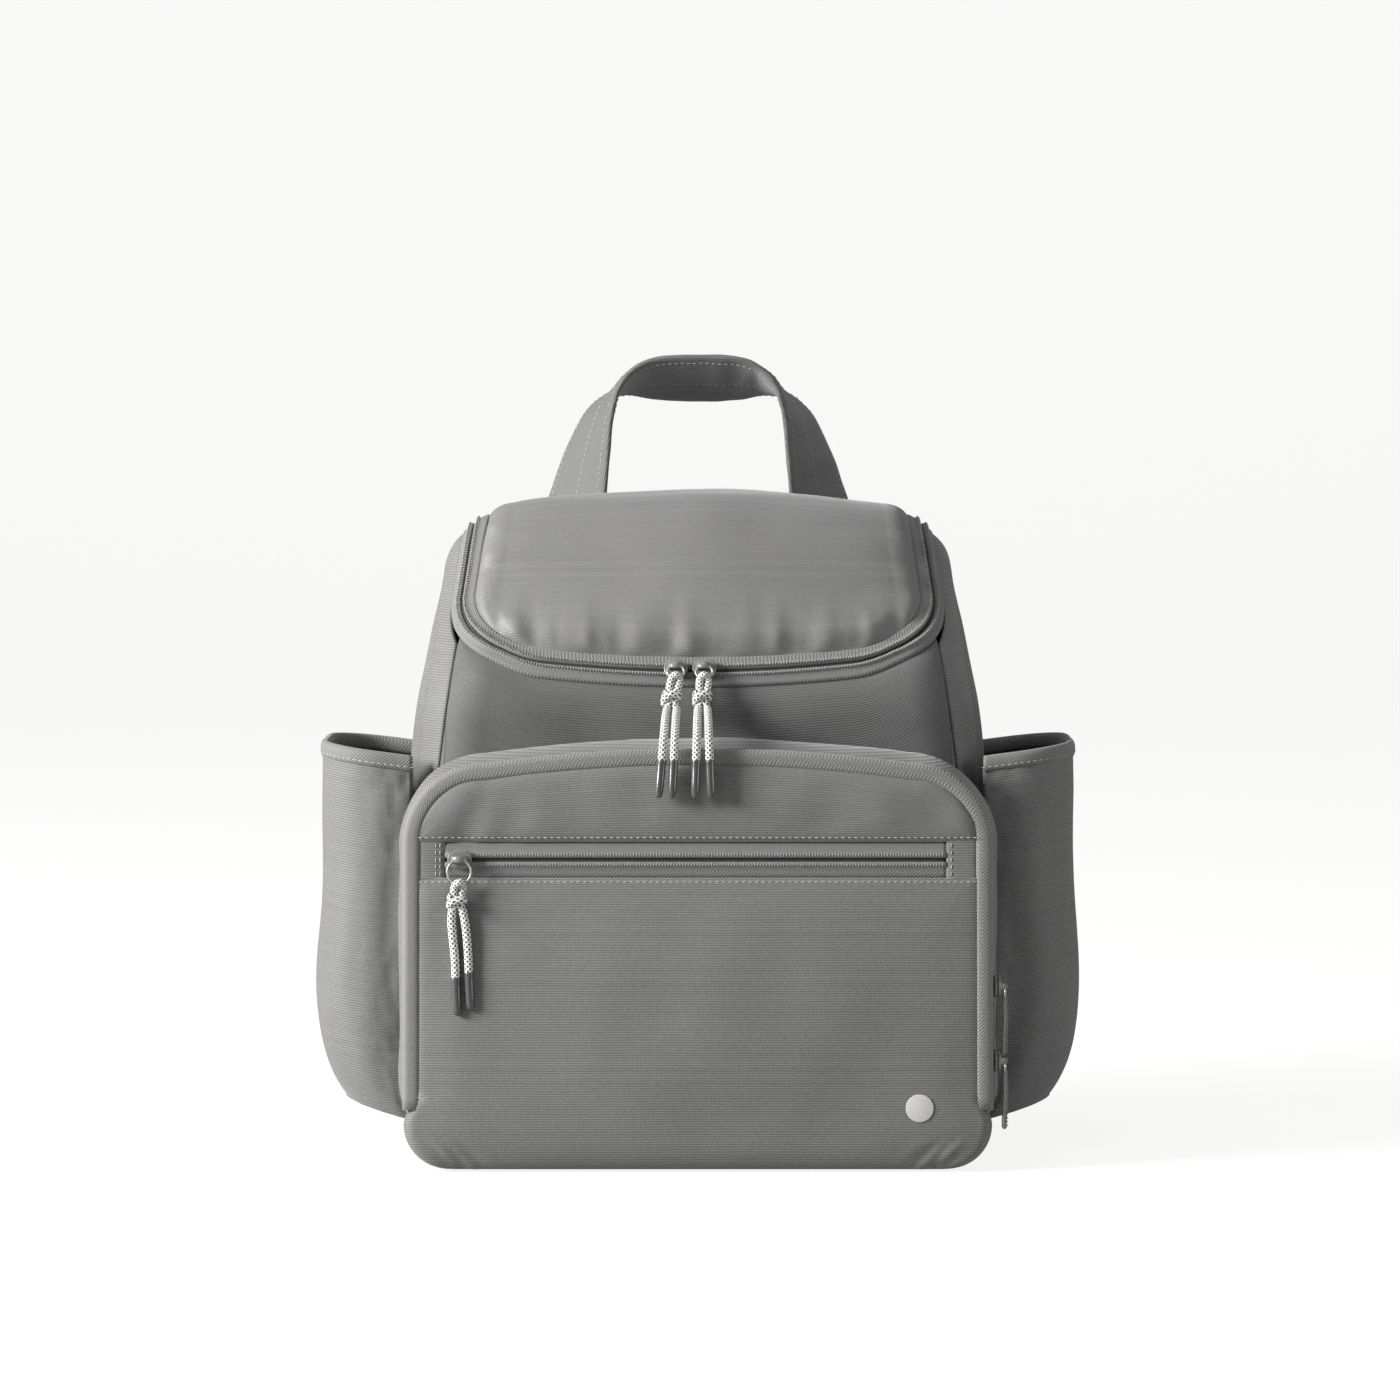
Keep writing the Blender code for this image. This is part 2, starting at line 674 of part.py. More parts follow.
def build_badge(mat, hinge):
    """Small plain disc near the flap's right lower corner."""
    outline = [(BADGE_R * math.cos(math.tau * k / 24), BADGE_R * math.sin(math.tau * k / 24))
               for k in range(24)]
    frame = Matrix.Translation(on_flap(BADGE_X, BADGE_V)) @ flap_frame().to_3x3().to_4x4()
    plate("badge", outline, -BADGE_T - GAP, -GAP, frame, mat, hinge)


# ---- side pockets ----
def pocket_plan(inset, hand, bulge=0.0):
    """U-shaped outline of a side pocket seen from above, from its front seam round to its back seam."""
    near, far = SIDE_POCKET_FRONT + inset, SIDE_POCKET_BACK - inset
    out = HALF_WIDTH + SIDE_POCKET_OUT + bulge - inset
    radius = SIDE_POCKET_R - inset
    start = HALF_WIDTH + 2 * GAP
    points = [(start, near), (lerp(start, out - radius, 0.6), near)]
    for centre_y, first in ((near + radius, -90), (far - radius, 0)):
        for k in range(6):
            angle = math.radians(first + 90 * k / 5)
            points.append((out - radius + radius * math.cos(angle),
                           centre_y + radius * math.sin(angle)))
    points += [(lerp(start, out - radius, 0.6), far), (start, far)]
    return [(hand * x, y) for x, y in points]


def rim_height(x):
    """Height of a side pocket's rim, rising outwards."""
    return SIDE_POCKET_RIM + SIDE_POCKET_RISE * (abs(x) - HALF_WIDTH) / SIDE_POCKET_OUT


def build_side_pocket(side, hand, fabric, twill):
    """One open side pocket with its bound rim."""
    levels = ((0.0, -0.012), (0.25, -0.001), (0.5, 0.0), (0.75, 0.0), (1.0, 0.0))

    def rings(inset, foot, beyond):
        result = []
        for share, bulge in levels:
            ring = []
            for x, y in pocket_plan(inset, hand, bulge):
                ring.append(Vector((x, y, lerp(foot, rim_height(x) + beyond, share))))
            result.append(ring)
        return result

    body = loft("side_pocket_" + side, rings(0.0, SIDE_POCKET_FOOT, 0.0), fabric)
    hollow = rings(SIDE_POCKET_T, SIDE_POCKET_FOOT + SIDE_POCKET_T, 0.004)
    for ring in hollow:
        for end in (0, -1):
            ring[end].x = hand * (HALF_WIDTH - 0.004)
    cutter = loft("side_pocket_hollow_" + side, hollow, fabric)
    cut(body, cutter)

    middle = pocket_plan(SIDE_POCKET_T / 2, hand)
    normals = arch_normals(middle)
    stations = []
    for (x, y), out in zip(middle, normals):
        low = rim_height(x) + GAP
        stations.append(((x, y, low + BINDING_H / 2), (0, 0, BINDING_H / 2),
                         (out.x * BINDING_T / 2, out.y * BINDING_T / 2, 0)))
    strap("pocket_binding_" + side, stations, twill)


# ---- handle and straps ----
def build_handle(fabric, hinge):
    """Carry handle, a strap whose back edge hangs lower at the top and wider at the feet."""
    front_edge = [(0.0465, 0.0), (0.0455, 0.018), (0.0440, 0.037), (0.0425, 0.054),
                  (0.0375, 0.071), (0.0240, 0.0815), (0.0, 0.0835)]
    back_edge = [(0.0790, 0.0), (0.0735, 0.016), (0.0660, 0.036), (0.0545, 0.0565),
                 (0.0390, 0.0645), (0.0210, 0.062), (0.0, 0.061)]
    front = [Vector((x, HANDLE_Y - HANDLE_DEPTH / 2, HANDLE_FOOT_Z + z)) for x, z in front_edge]
    back = [Vector((x, HANDLE_Y + HANDLE_DEPTH / 2, HANDLE_FOOT_Z + z)) for x, z in back_edge]
    mirror = Matrix.Diagonal((-1, 1, 1))
    front += [mirror @ p for p in reversed(front[:-1])]
    back += [mirror @ p for p in reversed(back[:-1])]
    front, back = smooth_path(front, 2), smooth_path(back, 2)
    stations = []
    for i, (a, b) in enumerate(zip(front, back)):
        before, after = max(i - 1, 0), min(i + 1, len(front) - 1)
        way = (front[after] + back[after]) - (front[before] + back[before])
        across = b - a
        through = across.cross(way).normalized() * HANDLE_T / 2
        if i in (0, len(front) - 1):
            through.z = 0
        stations.append(((a + b) / 2, across / 2, through))
    strap("carry_handle", stations, fabric, hinge)


def build_straps(fabric, webbing, plastic):
    """Padded shoulder straps with their webbing, buckles and lower tabs."""
    for side, hand in (("left", -1), ("right", 1)):
        fall = STRAP_TOP_Z - STRAP_END_Z
        route = [(0.048, 0.0075, 0.0), (0.053, 0.0150, 0.101), (0.062, 0.0270, 0.270),
                 (0.070, 0.0340, 0.506), (0.078, 0.0310, 0.742), (0.084, 0.0210, 1.0)]
        path = smooth_path([(hand * x, BACK_Y + y, STRAP_TOP_Z - share * fall) for x, y, share in route], 3)
        stations = []
        for i, place in enumerate(path):
            way = path[min(i + 1, len(path) - 1)] - path[max(i - 1, 0)]
            across = Vector((STRAP_W / 2, 0, 0))
            taper = lerp(1.0, 0.62, max(0.0, (i / (len(path) - 1) - 0.6) / 0.4))
            through = across.cross(way).normalized() * STRAP_T / 2
            if i in (0, len(path) - 1):
                through = Vector((0, STRAP_T / 2, 0))
            stations.append((place, across * taper, through))
        strap("shoulder_strap_" + side, stations, fabric)

        lock_top = STRAP_END_Z - GAP
        lock = Vector((path[-1].x, path[-1].y, lock_top - LOCK_H / 2))
        size = (WEBBING_W / 2 + LOCK_EDGE, LOCK_T / 2)
        frame = upright_block("ladder_lock_" + side, lock, LOCK_H, size, plastic)
        for place, lift in (("upper", LOCK_H * 0.22), ("lower", -LOCK_H * 0.22)):
            size = (WEBBING_W / 2 + 0.001, LOCK_T)
            slot = upright_block("lock_slot_%s_%s" % (place, side), lock + Vector((0, 0, lift)),
                                 LOCK_SLOT_H, size, plastic)
            cut(frame, slot)

        tab = Vector((hand * 0.102, BACK_Y + 0.0040, STRAP_TAB_Z))
        route = [(lock.x, lock.y, lock_top - LOCK_H - GAP),
                 (lerp(lock.x, tab.x, 0.3), lock.y - 0.002, 0.060),
                 (lerp(lock.x, tab.x, 0.7), lerp(lock.y, tab.y, 0.6), 0.045),
                 (tab.x, tab.y, STRAP_TAB_Z + GAP)]
        stations = [(place, (WEBBING_W / 2, 0, 0), (0, WEBBING_T / 2, 0))
                    for place in smooth_path(route, 3)]
        strap("strap_webbing_" + side, stations, webbing)
        through = (0, STRAP_TAB_T / 2, 0)
        tab_foot = tab + Vector((hand * 0.004, 0, -0.024))
        strap("strap_tab_" + side, [(tab, (0.015, 0, 0), through), (tab_foot, (0.009, 0, 0), through)],
              fabric)


def upright_block(name, middle, height, size, mat):
    """Block of a height round a middle, with these half sizes across and through."""
    across, through = (size[0], 0, 0), (0, size[1], 0)
    half = Vector((0, 0, height / 2))
    return strap(name, [(middle + half, across, through), (middle - half, across, through)], mat)


# ---- zip sliders and pulls ----
def build_slider(name, frame, metal, parent, pin_along="X"):
    """Slider in its frame: X along the zip, Z out of the fabric, with a drilled lug for the pull."""
    work = bmesh.new()
    low = bmesh.ops.create_cube(work, size=1.0)["verts"]
    bmesh.ops.scale(work, vec=(SLIDER_L, SLIDER_W, SLIDER_T), verts=low)
    bmesh.ops.bevel(work, geom=list(work.edges), offset=0.0009, segments=1, affect="EDGES")
    bmesh.ops.translate(work, vec=(0, 0, SLIDER_T / 2), verts=work.verts)
    bmesh.ops.transform(work, matrix=frame, verts=work.verts)
    body = add(name, finish_mesh(work, name), metal, parent)

    lug_frame = frame @ Matrix.Rotation(0 if pin_along == "X" else math.pi / 2, 4, "Z")
    work = bmesh.new()
    bmesh.ops.create_cube(work, size=1.0)
    bmesh.ops.scale(work, vec=(0.0040, 0.0042, BAIL_H + SLIDER_T / 2), verts=work.verts)
    bmesh.ops.translate(work, vec=(0, 0, (BAIL_H + SLIDER_T * 1.5) / 2), verts=work.verts)
    bmesh.ops.transform(work, matrix=lug_frame, verts=work.verts)
    lug = add(name + "_lug", finish_mesh(work, name + "_lug"), metal)
    join(body, lug)

    work = bmesh.new()
    bmesh.ops.create_cone(work, segments=12, radius1=BAIL_HOLE_R, radius2=BAIL_HOLE_R, depth=0.02,
                          cap_ends=True)
    bmesh.ops.transform(work, matrix=Matrix.Rotation(math.pi / 2, 4, "Y"), verts=work.verts)
    bmesh.ops.translate(work, vec=(0, 0, PIN_LIFT), verts=work.verts)
    bmesh.ops.transform(work, matrix=lug_frame, verts=work.verts)
    bore = add(name + "_bore", finish_mesh(work, name + "_bore"), metal)
    cut(body, bore)
    return body


PIN_LIFT = SLIDER_T + BAIL_H / 2 + 0.0002


def ring_points(frame, width, height):
    """Closed wire loop that hangs from the pin place of a slider's frame."""
    points = []
    for k in range(24):
        angle = math.tau * k / 24
        points.append(frame @ Vector((width / 2 * math.sin(angle), height / 2 * (math.cos(angle) - 1),
                                      PIN_LIFT)))
    return points


def build_cord_pull(name, frame, size, knot, strands, mats, parent):
    """Wire ring, knotted cord with two ends and their tips. Places are world points."""
    metal, cord, tip_mat = mats
    tube(name + "_ring", ring_points(frame, *size), RING_WIRE_R, 1, metal, parent, closed=True)
    work = bmesh.new()
    bmesh.ops.create_uvsphere(work, u_segments=10, v_segments=7, radius=1.0)
    bmesh.ops.scale(work, vec=KNOT_R, verts=work.verts)
    bmesh.ops.translate(work, vec=knot, verts=work.verts)
    add(name + "_knot", finish_mesh(work, name + "_knot", True), cord, parent)
    for letter, route in zip("ab", strands):
        path = smooth_path(route, 3)
        tube("%s_cord_%s" % (name, letter), path, CORD_D / 2, 2, cord, parent)
        way = (path[-1] - path[-2]).normalized()
        turn = Vector((0, 0, 1)).rotation_difference(way).to_matrix().to_4x4()
        tip = bmesh.new()
        bmesh.ops.create_cone(tip, segments=12, radius1=TIP_D / 2, radius2=TIP_D / 2 * 0.8, depth=TIP_L,
                              cap_ends=True)
        place = Matrix.Translation(path[-1] + way * (GAP + TIP_L / 2)) @ turn
        bmesh.ops.transform(tip, matrix=place, verts=tip.verts)
        tip_name = "%s_tip_%s" % (name, letter)
        add(tip_name, finish_mesh(tip, tip_name, True), tip_mat, parent)


def lid_slider_frame(x):
    """Slider frame on the front run of the lid zip at x."""
    here = on_track(x, 0)
    along = (on_track(x + 0.002, 0) - on_track(x - 0.002, 0)).normalized()
    up = (on_track(x, -0.002) - on_track(x, 0.002)).normalized()
    out = along.cross(up).normalized()
    turn = Matrix((along, up, out)).transposed().to_4x4()
    return Matrix.Translation(here + out * GAP) @ turn


def beside(middle, spare):
    """Places of two cords side by side, each half a cord and a clearance from their middle."""
    return middle - CORD_D / 2 - spare, middle + CORD_D / 2 + spare


def build_pulls(metal, cord, tip_mat, fabric, flap_hinge, lid_hinge):
    """All zip sliders with what hangs from them."""
    mats = (metal, cord, tip_mat)
    over = ((-0.0575, 0.2145), (-0.0660, 0.2125), (-0.0760, 0.2085), (-0.0845, 0.2030),
            (-0.0875, 0.1970), (-0.0885, 0.1915))
    count = len(over) - 1
    pulls = {
        "left": (-0.0105, -0.0125, (-0.01235, 0.00025), (-0.0142, 0.0008)),
        "right": (0.0030, 0.0022, (0.0023, 0.0002), (0.0024, 0.0012)),
    }
    for side, (x, knot_x, top, bottom) in pulls.items():
        frame = lid_slider_frame(x)
        slider = build_slider("lid_slider_" + side, frame, metal, lid_hinge)
        swing = joint_empty("lid_pull_pivot_" + side, frame @ Vector((0, 0, PIN_LIFT)), slider)
        strands = []
        for ends in zip(beside(*top), beside(*bottom)):
            strands.append([(lerp(*ends, k / count), y, z) for k, (y, z) in enumerate(over)])
        knot_place = Vector((knot_x, over[0][0] + 0.0015, over[0][1] + 0.0077))
        build_cord_pull("lid_pull_" + side, frame, (0.0080, 0.0068), knot_place, strands, mats, swing)

    pull_x = SLIT_LEFT + 0.007
    frame = flap_frame() @ Matrix.Translation((pull_x, SLIT_Z, GAP - SLIT_RECESS))
    slider = build_slider("slit_slider", frame, metal, flap_hinge)
    swing = joint_empty("slit_pull_pivot", frame @ Vector((0, 0, PIN_LIFT)), slider)
    stand = -(CORD_D / 2 + CORD_LIFT)
    knot_place = on_flap(pull_x - 0.0010, SLIT_Z - 0.0175, stand - 0.0006)
    hanging = ((-0.0009, 0.0003, 0.0230, 0.0230), (-0.0005, 0.0011, 0.0285, 0.0285),
               (0.0003, 0.0013, 0.0365, 0.0365), (0.0011, 0.0011, 0.0455, 0.0445),
               (0.00155, 0.00105, 0.0565, 0.0540))
    strands = [[], []]
    for shift, spare, *drops in hanging:
        for strand, x, drop in zip(strands, beside(pull_x + shift, spare), drops):
            strand.append(on_flap(x, SLIT_Z - drop, stand))
    build_cord_pull("slit_pull", frame, (0.0112, 0.0115), knot_place, strands, mats, swing)

    along = Vector((0, math.sin(POCKET_LEAN), math.cos(POCKET_LEAN)))
    out = Vector((1, 0, 0))
    for name, v in (("upper", 0.0870), ("lower", 0.0520)):
        turn = Matrix((along, out.cross(along), out)).transposed().to_4x4()
        place = on_flap(POCKET_HALF, v, ZIP_REAR_DEPTH - 0.0002) + out * GAP
        frame = Matrix.Translation(place) @ turn
        slider = build_slider("flap_slider_" + name, frame, metal, None, pin_along="Y")
        pin = frame @ Vector((0, 0, PIN_LIFT))
        swing = joint_empty("flap_tab_pivot_" + name, pin, slider)
        link = [pin + along * 0.0030 * (math.cos(a) - 1) + frame.col[1].to_3d() * 0.0034 * math.sin(a)
                for a in (math.tau * k / 20 for k in range(20))]
        pull = tube("flap_pull_" + name, link, RING_WIRE_R, 1, metal, swing, closed=True)
        top = pin - along * 0.0060
        across = frame.col[1].to_3d() * TAB_W / 2
        stations = [(top - along * t * TAB_L, across, out * 0.0011) for t in (0.0, 0.5, 1.0)]
        tab = strap("flap_tab_" + name, stations, fabric)
        join(pull, tab)


clear_scene()
BAG = new_collection("nappy_backpack")
CUTTERS = new_collection("cutters")


def build():
    """Make every piece of the bag."""
    ribbed = material("ribbed_fabric", 0.16, 0.75)
    twill = material("zip_tape", 0.20, 0.80)
    base_cloth = material("base_cloth", 0.06, 0.85)
    lining = material("lining", 0.22, 0.80)
    board = material("board", 0.10, 0.60)
    foam = material("foam", 0.45, 0.90)
    webbing = material("webbing", 0.14, 0.80)
    plastic = material("buckle_plastic", 0.10, 0.45)
    metal = material("painted_metal", 0.18, 0.40)
    cord = material("cord", 0.60, 0.80)
    tip = material("cord_tip", 0.06, 0.25)
    badge = material("badge_print", 0.55, 0.50)

    lid_hinge = joint_empty("lid_hinge", skin(0, S_HINGE))
    flap_hinge = joint_empty("flap_hinge", Vector((0, POCKET_FOOT_Y + FLAP_T, FLAP_HINGE_Z)))
    handle_hinge = joint_empty("handle_hinge", Vector((0, HANDLE_Y, HANDLE_FOOT_Z)))
    build_body(ribbed, base_cloth, lining, board, foam)
    build_lid(ribbed, twill, lid_hinge)
    build_pocket(ribbed, twill, lining, flap_hinge)
    build_badge(badge, flap_hinge)
    build_side_pocket("left", -1, ribbed, twill)
    build_side_pocket("right", 1, ribbed, twill)
    build_handle(ribbed, handle_hinge)
    build_straps(ribbed, webbing, plastic)
    build_pulls(metal, cord, tip, ribbed, flap_hinge, lid_hinge)


build()
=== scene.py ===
"""Looks of the nappy backpack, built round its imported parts. Metres, +Z up, front towards -Y."""

import logging
import math
from dataclasses import dataclass, field
from enum import Enum
from typing import Callable, Iterable, Sequence

import bmesh
import bpy
from mathutils import Matrix, Vector, noise


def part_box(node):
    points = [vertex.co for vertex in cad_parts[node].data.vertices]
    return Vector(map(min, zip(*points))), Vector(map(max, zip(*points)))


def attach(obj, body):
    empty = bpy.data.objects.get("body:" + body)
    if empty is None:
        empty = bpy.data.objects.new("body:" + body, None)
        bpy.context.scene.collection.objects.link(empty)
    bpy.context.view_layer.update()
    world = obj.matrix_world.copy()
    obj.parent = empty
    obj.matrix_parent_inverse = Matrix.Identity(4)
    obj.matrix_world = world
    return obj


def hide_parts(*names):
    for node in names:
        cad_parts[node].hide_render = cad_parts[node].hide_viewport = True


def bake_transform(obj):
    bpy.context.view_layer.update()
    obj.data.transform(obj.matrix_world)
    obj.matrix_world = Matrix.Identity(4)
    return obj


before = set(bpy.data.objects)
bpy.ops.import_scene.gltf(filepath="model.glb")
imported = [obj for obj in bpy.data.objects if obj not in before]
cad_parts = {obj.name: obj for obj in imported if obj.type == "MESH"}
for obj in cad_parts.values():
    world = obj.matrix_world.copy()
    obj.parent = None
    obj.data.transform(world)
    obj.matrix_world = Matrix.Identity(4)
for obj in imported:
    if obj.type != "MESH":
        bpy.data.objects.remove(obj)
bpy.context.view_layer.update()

LOG = logging.getLogger("nappy_backpack")
MM = 0.001
TAU = math.tau
WEAVE = "weave"             # UV map in metres: across the cloth, and along it
INSIDE = Vector((0.0, 0.01, 0.15))

Points = list[Vector]
Rows = list[list[Vector]]


# ---- small maths ----
def lerp(a: float, b: float, t: float) -> float:
    """Value a share t of the way from a to b."""
    return a + (b - a) * t


def steps(low: float, high: float, count: int) -> list[float]:
    """count + 1 even values from low to high."""
    return [lerp(low, high, k / count) for k in range(count + 1)]


def eased(t: float) -> float:
    """Smooth step of t held between 0 and 1."""
    t = min(max(t, 0.0), 1.0)
    return t * t * (3 - 2 * t)


def squared(value: float, power: float) -> float:
    """Power of a value that keeps its sign; below 1 it squares off a round section."""
    return math.copysign(abs(value) ** power, value)


def near_edges(count: int, margin: float = 0.012) -> list[float]:
    """Values from 0 to 1 that crowd towards both ends."""
    return [0.5 - 0.5 * math.cos(math.pi * k / count) * (1 - margin) - 0.5 * margin * (1 - 2 * k / count)
            for k in range(count + 1)]


def linked(name: str, data: bpy.types.ID) -> bpy.types.Object:
    """A new object of the data, in the scene."""
    obj = bpy.data.objects.new(name, data)
    bpy.context.scene.collection.objects.link(obj)
    return obj


def beside(points: Points, i: int) -> Vector:
    """Way of a line of points at one of them."""
    return points[min(i + 1, len(points) - 1)] - points[max(i - 1, 0)]


def ripple(x: float, y: float, seed: float) -> float:
    """Smooth noise between about -1 and 1."""
    return noise.noise(Vector((x, y, seed)))


def smooth_path(points: Iterable, count: int) -> Points:
    """Points on one smooth curve through the given ones.

    Args:
        points: places that the curve passes.
        count: steps between two of them.
    Returns:
        The curve's points.
    """
    given = [Vector(p) for p in points]
    padded = [2 * given[0] - given[1], *given, 2 * given[-1] - given[-2]]
    result = []
    for a, b, c, d in zip(padded, padded[1:], padded[2:], padded[3:]):
        for k in range(count):
            t = k / count
            result.append(0.5 * ((2 * b) + (c - a) * t + (2 * a - 5 * b + 4 * c - d) * t ** 2
                                 + (3 * b - a - 3 * c + d) * t ** 3))
    return result + [given[-1]]


# ---- shader writing ----
class Value:
    """A shader socket that takes part in Python expressions."""

    def __init__(self, shader: "Shader", socket: bpy.types.NodeSocket) -> None:
        """Wrap a socket of a shader."""
        self.shader = shader
        self.socket = socket

    def math(self, operation: str, *others: "Value | float", clamp: bool = False) -> "Value":
        """Math node on this value and others."""
        return self.shader.math(operation, self, *others, clamp=clamp)

    def __add__(self, other: "Value | float") -> "Value":
        """Sum."""
        return self.math("ADD", other)

    __radd__ = __add__

    def __sub__(self, other: "Value | float") -> "Value":
        """Difference."""
        return self.math("SUBTRACT", other)

    def __rsub__(self, other: "Value | float") -> "Value":
        """Difference from a number."""
        return self.shader.math("SUBTRACT", other, self)

    def __mul__(self, other: "Value | float") -> "Value":
        """Product."""
        return self.math("MULTIPLY", other)

    __rmul__ = __mul__

    def __truediv__(self, other: "Value | float") -> "Value":
        """Quotient."""
        return self.math("DIVIDE", other)

    def wave(self) -> "Value":
        """Sine, moved to between 0 and 1."""
        return self.math("SINE") * 0.5 + 0.5

    def over(self, edge: float, softness: float) -> "Value":
        """0 below an edge and 1 above it, with a soft step between."""
        return ((self - edge) / softness + 0.5).math("ADD", 0.0, clamp=True)


class Shader:
    """One material's nodes."""

    def __init__(self, name: str) -> None:
        """Start a material with a plain Principled shader."""
        self.material = bpy.data.materials.new(name)
        self.material.use_nodes = True
        self.tree = self.material.node_tree
        self.surface = self.tree.nodes["Principled BSDF"]

    def node(self, kind: str, settings: dict | None = None, sockets: dict | None = None,
             output: int | str = 0) -> Value:
        """Add a node.

        Args:
            kind: the node's type.
            settings: its properties, set first.
            sockets: values or links of its sockets, by identifier, name or number.
            output: the output that is read.
        Returns:
            The output as a value.
        """
        made = self.tree.nodes.new(kind)
        for key, value in (settings or {}).items():
            setattr(made, key, value)
        for key, value in (sockets or {}).items():
            self.plug(self.find(made.inputs, key), value)
        return Value(self, self.find(made.outputs, output))

    @staticmethod
    def find(sockets: Sequence, key: int | str) -> bpy.types.NodeSocket:
        """Socket by its identifier, name or number."""
        if isinstance(key, int):
            return sockets[key]
        for socket in sockets:
            if socket.identifier == key:
                return socket
        return sockets[key]

    def plug(self, socket: bpy.types.NodeSocket, value: "Value | float | tuple") -> None:
        """Link a value to a socket, or set its number."""
        if isinstance(value, Value):
            self.tree.links.new(value.socket, socket)
        else:
            socket.default_value = value

    def math(self, operation: str, *values: "Value | float", clamp: bool = False) -> Value:
        """Math node."""
        settings = {"operation": operation, "use_clamp": clamp}
        return self.node("ShaderNodeMath", settings, dict(enumerate(values)))

    def mixed(self, factor: "Value | float", low: "Value | tuple", high: "Value | tuple") -> Value:
        """Colour between two others."""
        return self.node("ShaderNodeMix", {"data_type": "RGBA"},
                         {"Factor_Float": factor, "A_Color": low, "B_Color": high}, "Result_Color")

    def weave(self) -> tuple[Value, Value, Value]:
        """The piece's own cloth coordinates: the vector, across and along."""
        place = self.node("ShaderNodeUVMap", {"uv_map": WEAVE})
        parts = self.node("ShaderNodeSeparateXYZ", None, {0: place})
        return place, parts, Value(self, parts.socket.node.outputs[1])

    def place(self) -> Value:
        """Object coordinates."""
        return self.node("ShaderNodeTexCoord", None, None, "Object")

    def cloud(self, where: Value, scale: float, detail: float = 2.0) -> Value:
        """Noise between 0 and 1."""
        return self.node("ShaderNodeTexNoise", None, {"Vector": where, "Scale": scale, "Detail": detail})

    def finish(self, colour: "Value | tuple", roughness: "Value | float", height: "Value | None",
               distance: float, **constants: float) -> bpy.types.Material:
        """Fill the surface's sockets.

        Args:
            colour: base colour.
            roughness: surface roughness.
            height: relief from 0 to 1, or None.
            distance: depth of the relief in metres.
            constants: other sockets' numbers, by name with _ for a space.
        Returns:
            The material.
        """
        self.plug(self.surface.inputs["Base Color"], colour)
        self.plug(self.surface.inputs["Roughness"], roughness)
        for key, value in constants.items():
            self.surface.inputs[key.replace("_", " ")].default_value = value
        if height is not None:
            inputs = {"Height": height, "Distance": distance, "Strength": 1.0}
            bump = self.node("ShaderNodeBump", None, inputs)
            self.plug(self.surface.inputs["Normal"], bump)
        return self.material


def grey(level: float, warmth: float = 0.012) -> tuple[float, float, float, float]:
    """A slightly warm grey of a linear level."""
    return (level * (1 + warmth), level, level * (1 - warmth), 1.0)


@dataclass(frozen=True)
class RibCloth:
    """Faille cloth: fine ribs across, a faint thread grid and soft uneven dye."""

    name: str
    level: float = 0.155
    pitch: float = 1.2 * MM
    groove: float = 0.62
    relief: float = 0.16 * MM
    roughness: float = 0.62
    sheen: float = 0.25
    turned: bool = False

    def make(self) -> bpy.types.Material:
        """The material."""
        shader = Shader(self.name)
        place, across, along = shader.weave()
        if self.turned:
            across, along = along, across
        drift = shader.cloud(place, 14.0, 1.0)
        rib = ((along + (drift - 0.5) * (self.pitch * 0.9)) * (TAU / self.pitch)).wave()
        thread = (across * (TAU / (0.62 * MM))).wave()
        slub = shader.cloud(place, 420.0, 3.0)
        dye = shader.cloud(place, 26.0, 3.0)
        band = shader.node("ShaderNodeTexNoise", {"noise_dimensions": "1D"},
                           {"W": along * 300.0, "Scale": 1.0, "Detail": 1.0})
        tone = rib * (1 - self.groove) + self.groove
        tone = tone * (thread * 0.10 + 0.94) * (slub * 0.24 + 0.88) * (dye * 0.12 + 0.94)
        tone = tone * (band * 0.16 + 0.92)
        colour = shader.mixed(tone.math("MULTIPLY", 0.8), grey(0.0), grey(self.level * 1.5))
        height = rib * 0.75 + thread * 0.12 + slub * 0.35
        rough = slub * 0.16 + (self.roughness - 0.08)
        return shader.finish(colour, rough, height, self.relief, Sheen_Weight=self.sheen,
                             Sheen_Roughness=0.45, Specular_IOR_Level=0.35)


@dataclass(frozen=True)
class TwillTape:
    """Zip tape and binding, woven with a fine slanting rib."""

    name: str
    level: float = 0.18
    pitch: float = 1.7 * MM
    herringbone: bool = False

    def make(self) -> bpy.types.Material:
        """The material."""
        shader = Shader(self.name)
        place, across, along = shader.weave()
        lean = across
        if self.herringbone:
            lean = (across * (1 / (2.4 * MM))).math("PINGPONG", 1.0) * (2.4 * MM)
        slant = ((lean + along) * (TAU / self.pitch)).wave()
        thread = ((lean - along) * (TAU / (self.pitch * 0.5))).wave()
        fuzz = shader.cloud(place, 600.0, 2.0)
        tone = (slant * 0.46 + 0.54) * (thread * 0.14 + 0.86) * (fuzz * 0.2 + 0.9)
        colour = shader.mixed(tone, grey(0.0), grey(self.level * 1.25))
        return shader.finish(colour, 0.68, slant * 0.8 + fuzz * 0.4, 0.14 * MM, Sheen_Weight=0.2,
                             Sheen_Roughness=0.5, Specular_IOR_Level=0.3)


@dataclass(frozen=True)
class PlainCloth:
    """Smooth lining or webbing."""

    name: str
    level: float
    pitch: float = 0.7 * MM
    relief: float = 0.08 * MM
    roughness: float = 0.7

    def make(self) -> bpy.types.Material:
        """The material."""
        shader = Shader(self.name)
        place, across, along = shader.weave()
        warp = (across * (TAU / self.pitch)).wave()
        weft = (along * (TAU / self.pitch)).wave()
        fuzz = shader.cloud(place, 300.0, 3.0)
        tone = (warp * 0.14 + 0.86) * (weft * 0.14 + 0.86) * (fuzz * 0.2 + 0.9)
        colour = shader.mixed(tone, grey(0.0), grey(self.level * 1.15))
        return shader.finish(colour, self.roughness, warp * weft + fuzz * 0.5, self.relief,
                             Sheen_Weight=0.15, Specular_IOR_Level=0.3)


